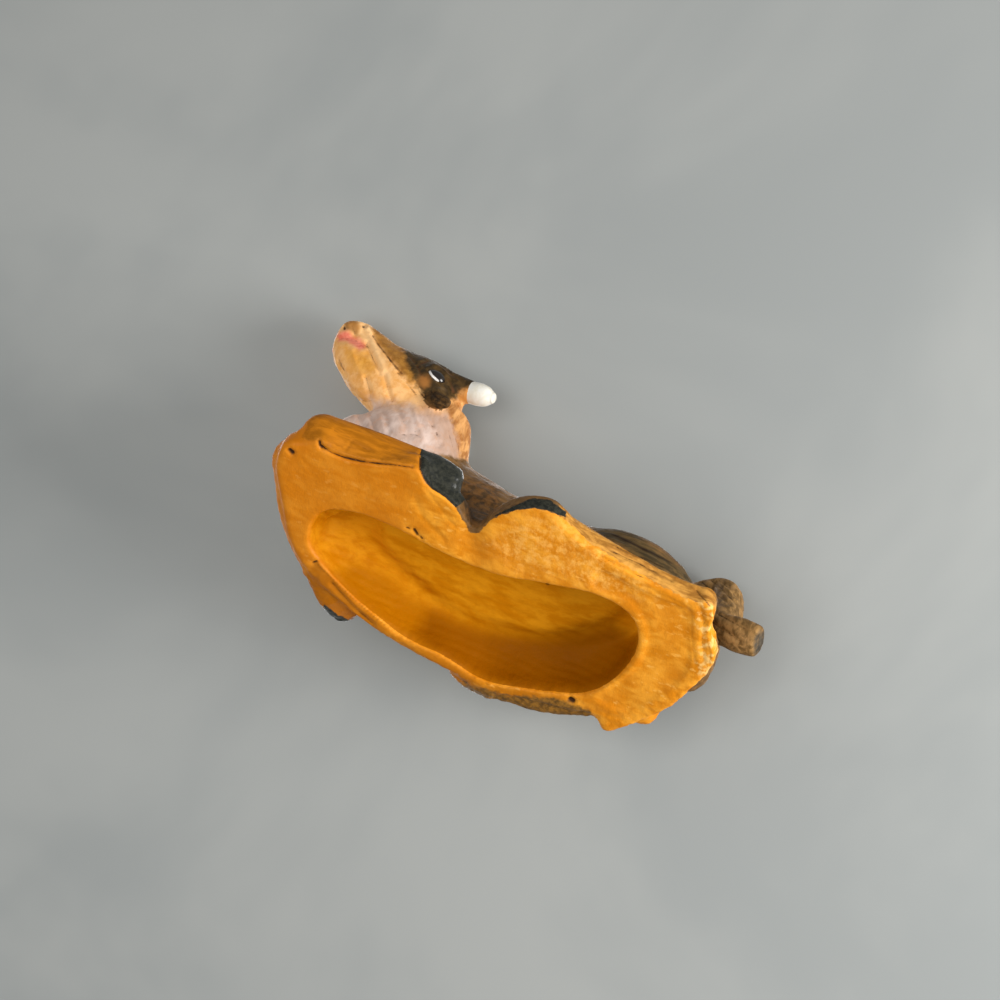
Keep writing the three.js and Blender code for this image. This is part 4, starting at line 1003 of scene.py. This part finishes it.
paint = Paint("dewlap_paint", 0.12)
coat_colour(paint)
coat = paint.colour
skin_colour(paint)
paint.spots((158, 140, 124), 0.6, 0.65, 0.72, 0.6, detail=5.0)
nape_colour(paint)
paint.colour = paint.mix(paint.edge("collar", 0.7, 2.0), coat, paint.colour)
paint.finish((0.42, 0.6), 0.6, worn=(240, 224, 210), groove_colour=(150, 104, 74), cut_shade=(104, 76, 56))

paint = Paint("head_paint", 0.1)
skin_colour(paint)
paint.area("jaw", paint.brushed((218, 146, 46), (234, 168, 70), 1.4), 1.6, 1.6, share=0.8)
# Painted highlight along the ridge of the cheek
paint.area("cheek_highlight", (248, 204, 148), 0.9, 0.8, share=0.6)
paint.area("bridge", paint.brushed((148, 98, 38), (190, 134, 58), 2.4, None, 0.3, 0.7), 0.7, 1.4)
paint.area("shade", (148, 98, 44), 0.5, 0.6, share=0.8)
paint.area("forehead", paint.brushed((46, 35, 20), (88, 66, 36), 2.0, None, 0.3, 0.7), 0.7, 1.9, 1.1)
nape_colour(paint)
paint.area("orange", (176, 114, 54), 0.8, 0.8, share=0.6)
paint.area("lips", paint.brushed((224, 108, 90), (244, 144, 122), 1.6), 0.6, 0.8, 1.2, share=0.9)
paint.finish((0.4, 0.56), 0.5, worn=(248, 210, 156), groove_colour=(136, 82, 36), cut_shade=(82, 50, 26))

paint = Paint("horn_paint")
paint.colour = paint.brushed((246, 241, 224), (253, 251, 243), 1.6)
paint.spots((214, 194, 154), 0.35, 0.66, 0.76, 0.7, detail=4.0)
paint.finish((0.3, 0.46), 0.3)

paint = Paint("eye_paint", 0.5)
paint.colour = paint.brushed((14, 14, 16), (34, 30, 28), 0.7)
paint.area("glint", paint.brushed((236, 230, 224), (252, 250, 246), 0.4), 0.06)
paint.finish((0.12, 0.24), 0.15)

paint = Paint("dowel_wood")
paint.colour = paint.brushed((150, 112, 70), (196, 158, 108), 0.8, (1, 1, 0.15))
paint.finish((0.5, 0.7), 0.4, (1, 1, 0.15))

paint = Paint("core_wire")
paint.colour = paint.brushed((120, 122, 126), (168, 170, 172), 0.6, (1, 0.2, 1))
paint.shader["Metallic"].default_value = 1.0
paint.finish((0.28, 0.5), 0.2)

LIP = 1.0  # how far a piece's edge is turned in


def make_piece(name, verts, faces, slot, normals=None, masks=None):
    mesh = bpy.data.meshes.new(name)
    mesh.from_pydata(((np.asarray(verts) + SHIFT) * MM).tolist(), [], faces)
    mesh.update()
    mesh.shade_smooth()
    if normals is not None:
        mesh.normals_split_custom_set_from_vertices(normals.tolist())
    for key, values in (masks or {}).items():
        mesh.attributes.new(key, "FLOAT", "POINT").data.foreach_set("value", np.asarray(values, np.float32))
    mesh.materials.append(materials[slot])
    piece = bpy.data.objects.new(f"cow_{name}", mesh)
    scene.collection.objects.link(piece)
    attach(piece, "root")
    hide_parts(name)
    return piece


def cut_piece(number):
    """The skin's faces of one piece, with a lip inside along its edge and a cap where it stays inside."""
    mine = quads[label == number]
    used, faces = np.unique(mine, return_inverse=True)
    faces = faces.reshape(-1, 4)
    edges = np.concatenate([faces[:, [k, (k + 1) % 4]] for k in range(4)])
    keys = {tuple(e) for e in edges.tolist()}
    open_edges = [e for e in keys if (e[1], e[0]) not in keys]
    open_edges.sort()
    verts = points[used]
    n = smooth_normals[used]
    source = used
    rim = sorted({v for e in open_edges for v in e})
    inner = {v: len(verts) + k for k, v in enumerate(rim)}
    verts = np.concatenate([verts, verts[rim] - n[rim] * LIP])
    n = np.concatenate([n, n[rim]])
    source = np.concatenate([source, used[rim]])
    lips = [(b, a, inner[a], inner[b]) for a, b in open_edges]
    loops = []
    after = {}
    for a, b in open_edges:
        after.setdefault(inner[a], []).append(inner[b])
    while after:
        start = next(iter(after))
        loop = [start]
        while True:
            nexts = after.get(loop[-1])
            if not nexts:
                break
            step = nexts.pop()
            if not nexts:
                del after[loop[-1]]
            if step == start:
                break
            loop.append(step)
        if len(loop) > 2:
            loops.append(loop)
    caps = []
    for loop in loops:
        middle = verts[loop].mean(0)
        spokes = np.concatenate([middle + (verts[loop] - middle) * s for s in (0, 0.35, 0.7, 0.9)])
        if (looked_up(clay, spokes) > -0.35).any():
            continue
        centre = len(verts)
        verts = np.concatenate([verts, [middle]])
        n = np.concatenate([n, [n[loop].mean(0)]])
        source = np.append(source, source[loop[0]])
        caps += [(b, a, centre) for a, b in zip(loop, loop[1:] + loop[:1])]
    return verts, faces.tolist() + lips + caps, n, {key: values[source] for key, values in PAINT.items()}


for number, name in enumerate(PIECES):
    verts, faces, n, masks = cut_piece(number)
    make_piece(name, verts, faces, SLOTS[name], n, masks)
for name, side in SIDES:
    p, q, t = horns[name]
    make_piece(f"{name}_horn", p, q.tolist() + t.tolist(), "horn_paint")

# Eyes: glossy beads with a painted glint, set in where the photograph shows the left one
EYE_PIXEL = (437.0, 376.0)
GLINT = [(428.5, 370.0), (431.5, 375.5), (437.5, 381.0)]
way = RIGHT * (EYE_PIXEL[0] - IMAGE / 2) / FOCAL - UP * (EYE_PIXEL[1] - IMAGE / 2) / FOCAL - BACK
hit = tree.ray_cast(Vector(EYE), Vector(way))
spot, outward = np.array(hit[0]), np.array(hit[1])
long_way = unit(RIGHT * 0.8 - UP * 0.6)
long_way = unit(long_way - outward * (long_way @ outward))
bead, bead_quads, bead_tris = ball(spot - outward * 0.55, (2.3, 1.6, 1.45), [
    long_way, np.cross(outward, long_way), outward], sides=72)
glint = 0.3 - line_distance(GLINT, pixel_of(bead)) / SCALE
glint = np.where(facing(bead, bead - spot + outward * 0.55) > 0, glint, -3.0)
for name, side in SIDES:
    verts = bead
    faces = bead_quads.tolist() + bead_tris.tolist()
    if side < 0:
        verts = HEAD_AT + (((bead - HEAD_AT) @ HEAD_AXES.T) * [-1, 1, 1]) @ HEAD_AXES
        faces = [f[::-1] for f in faces]
    make_piece(f"{name}_eye", verts, faces, "eye_paint", masks={"glint": glint})

# The wires and the dowel inside keep the casting's own forms
for name in ("neck_dowel", "tail_wire", "left_horn_wire", "right_horn_wire"):
    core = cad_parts[name]
    slot = "dowel_wood" if name == "neck_dowel" else "core_wire"
    core.data.materials.clear()
    core.data.materials.append(materials[slot])

# Stage: a table behind the lying figure, seen from below, and a floor under it, seen from above
TABLE_TONES = (146, 150, 150), (156, 159, 158)


def one_sided(name):
    """Matt paint that shows only from the front, and fades out far from the figure."""
    paint = Paint(name, 0.1)
    paint.shader["Roughness"].default_value = 0.9
    paint.links.new(paint.brushed(*TABLE_TONES, 120.0), paint.shader["Base Color"])
    far = paint.put("ShaderNodeVectorMath", {0: paint.place}, "Value", operation="LENGTH")
    seen_by_camera = paint.put("ShaderNodeLightPath", {}, "Is Camera Ray")
    behind = paint.put("ShaderNodeNewGeometry", {}, "Backfacing")
    front = paint.math("MAXIMUM", paint.math("SUBTRACT", seen_by_camera, behind), 0.0)
    share = paint.math("MULTIPLY", paint.ranged(far, 0.5, 0.24), front)
    mixed = paint.put("ShaderNodeMixShader", {
        0: share, 1: paint.put("ShaderNodeBsdfTransparent", {}), 2: paint.nodes["Principled BSDF"].outputs[0]})
    paint.links.new(mixed, paint.nodes["Material Output"].inputs["Surface"])
    return paint.material


def card(name, centre, normal, half, material):
    across = unit(np.cross([0.3, 1, 0.1], normal))
    up = np.cross(normal, across)
    corners = [(-half, -half), (half, -half), (half, half), (-half, half)]
    mesh = bpy.data.meshes.new(name)
    mesh.from_pydata([tuple((across * a + up * b) * MM) for a, b in corners], [], [(0, 1, 2, 3)])
    mesh.materials.append(material)
    piece = bpy.data.objects.new(name, mesh)
    piece.location = Vector(centre * MM)
    scene.collection.objects.link(piece)


placed = points + SHIFT
fore, rear = placed[placed[:, 1] < -15], placed[placed[:, 1] > 5]
touch = [part[np.argmin(part @ BACK)] for part in (fore, rear)]
gap = touch[0] - touch[1]
table_up = unit(BACK - np.array([0, 1.0, 0]) * (gap @ BACK) / gap[1])
rest = (placed @ table_up).min() - 0.5
middle = np.array([0, 0, 20.0])
middle = middle + table_up * (rest - middle @ table_up)
card("table", middle, table_up, 700, one_sided("table_grey"))
card("floor", np.zeros(3), np.array([0, 0, 1.0]), 700, one_sided("floor_grey"))

world = bpy.data.worlds.new("world")
scene.world = world
world.use_nodes = True
nodes, links = world.node_tree.nodes, world.node_tree.links
path = nodes.new("ShaderNodeLightPath")
plain, backdrop = nodes["Background"], nodes.new("ShaderNodeBackground")
plain.inputs["Color"].default_value = (1.0, 0.98, 0.95, 1)
plain.inputs["Strength"].default_value = 0.36
backdrop.inputs["Color"].default_value = srgb(166, 169, 168)
share = path.outputs["Is Camera Ray"]
for kind in ("Is Transmission Ray", "Is Glossy Ray"):
    either = nodes.new("ShaderNodeMath")
    either.operation = "MAXIMUM"
    links.new(share, either.inputs[0])
    links.new(path.outputs[kind], either.inputs[1])
    share = either.outputs[0]
which = nodes.new("ShaderNodeMixShader")
for socket, source in zip(which.inputs, (share, plain.outputs[0], backdrop.outputs[0])):
    links.new(source, socket)
links.new(which.outputs[0], nodes["World Output"].inputs["Surface"])


def lamp(name, way, distance, size, watts, colour=(1, 1, 1)):
    data = bpy.data.lights.new(name, "AREA")
    data.energy, data.size, data.color = watts, size, colour
    piece = bpy.data.objects.new(name, data)
    piece.location = Vector((unit(way) * distance + [0, 0, 25]) * MM)
    piece.rotation_euler = (Vector((0, 0, 0.025)) - piece.location).to_track_quat("-Z", "Y").to_euler()
    scene.collection.objects.link(piece)


lamp("key", RIGHT * 0.85 - UP * 0.15 + BACK * 0.52, 520, 0.26, 4.1, (1, 0.98, 0.95))
lamp("second", -RIGHT * 0.4 + UP * 0.05 + BACK * 0.95, 520, 0.35, 1.5, (1, 0.99, 0.97))
lamp("top", np.array([-0.55, -0.25, 0.8]), 600, 0.5, 2.2)
scene.view_settings.view_transform = "Standard"
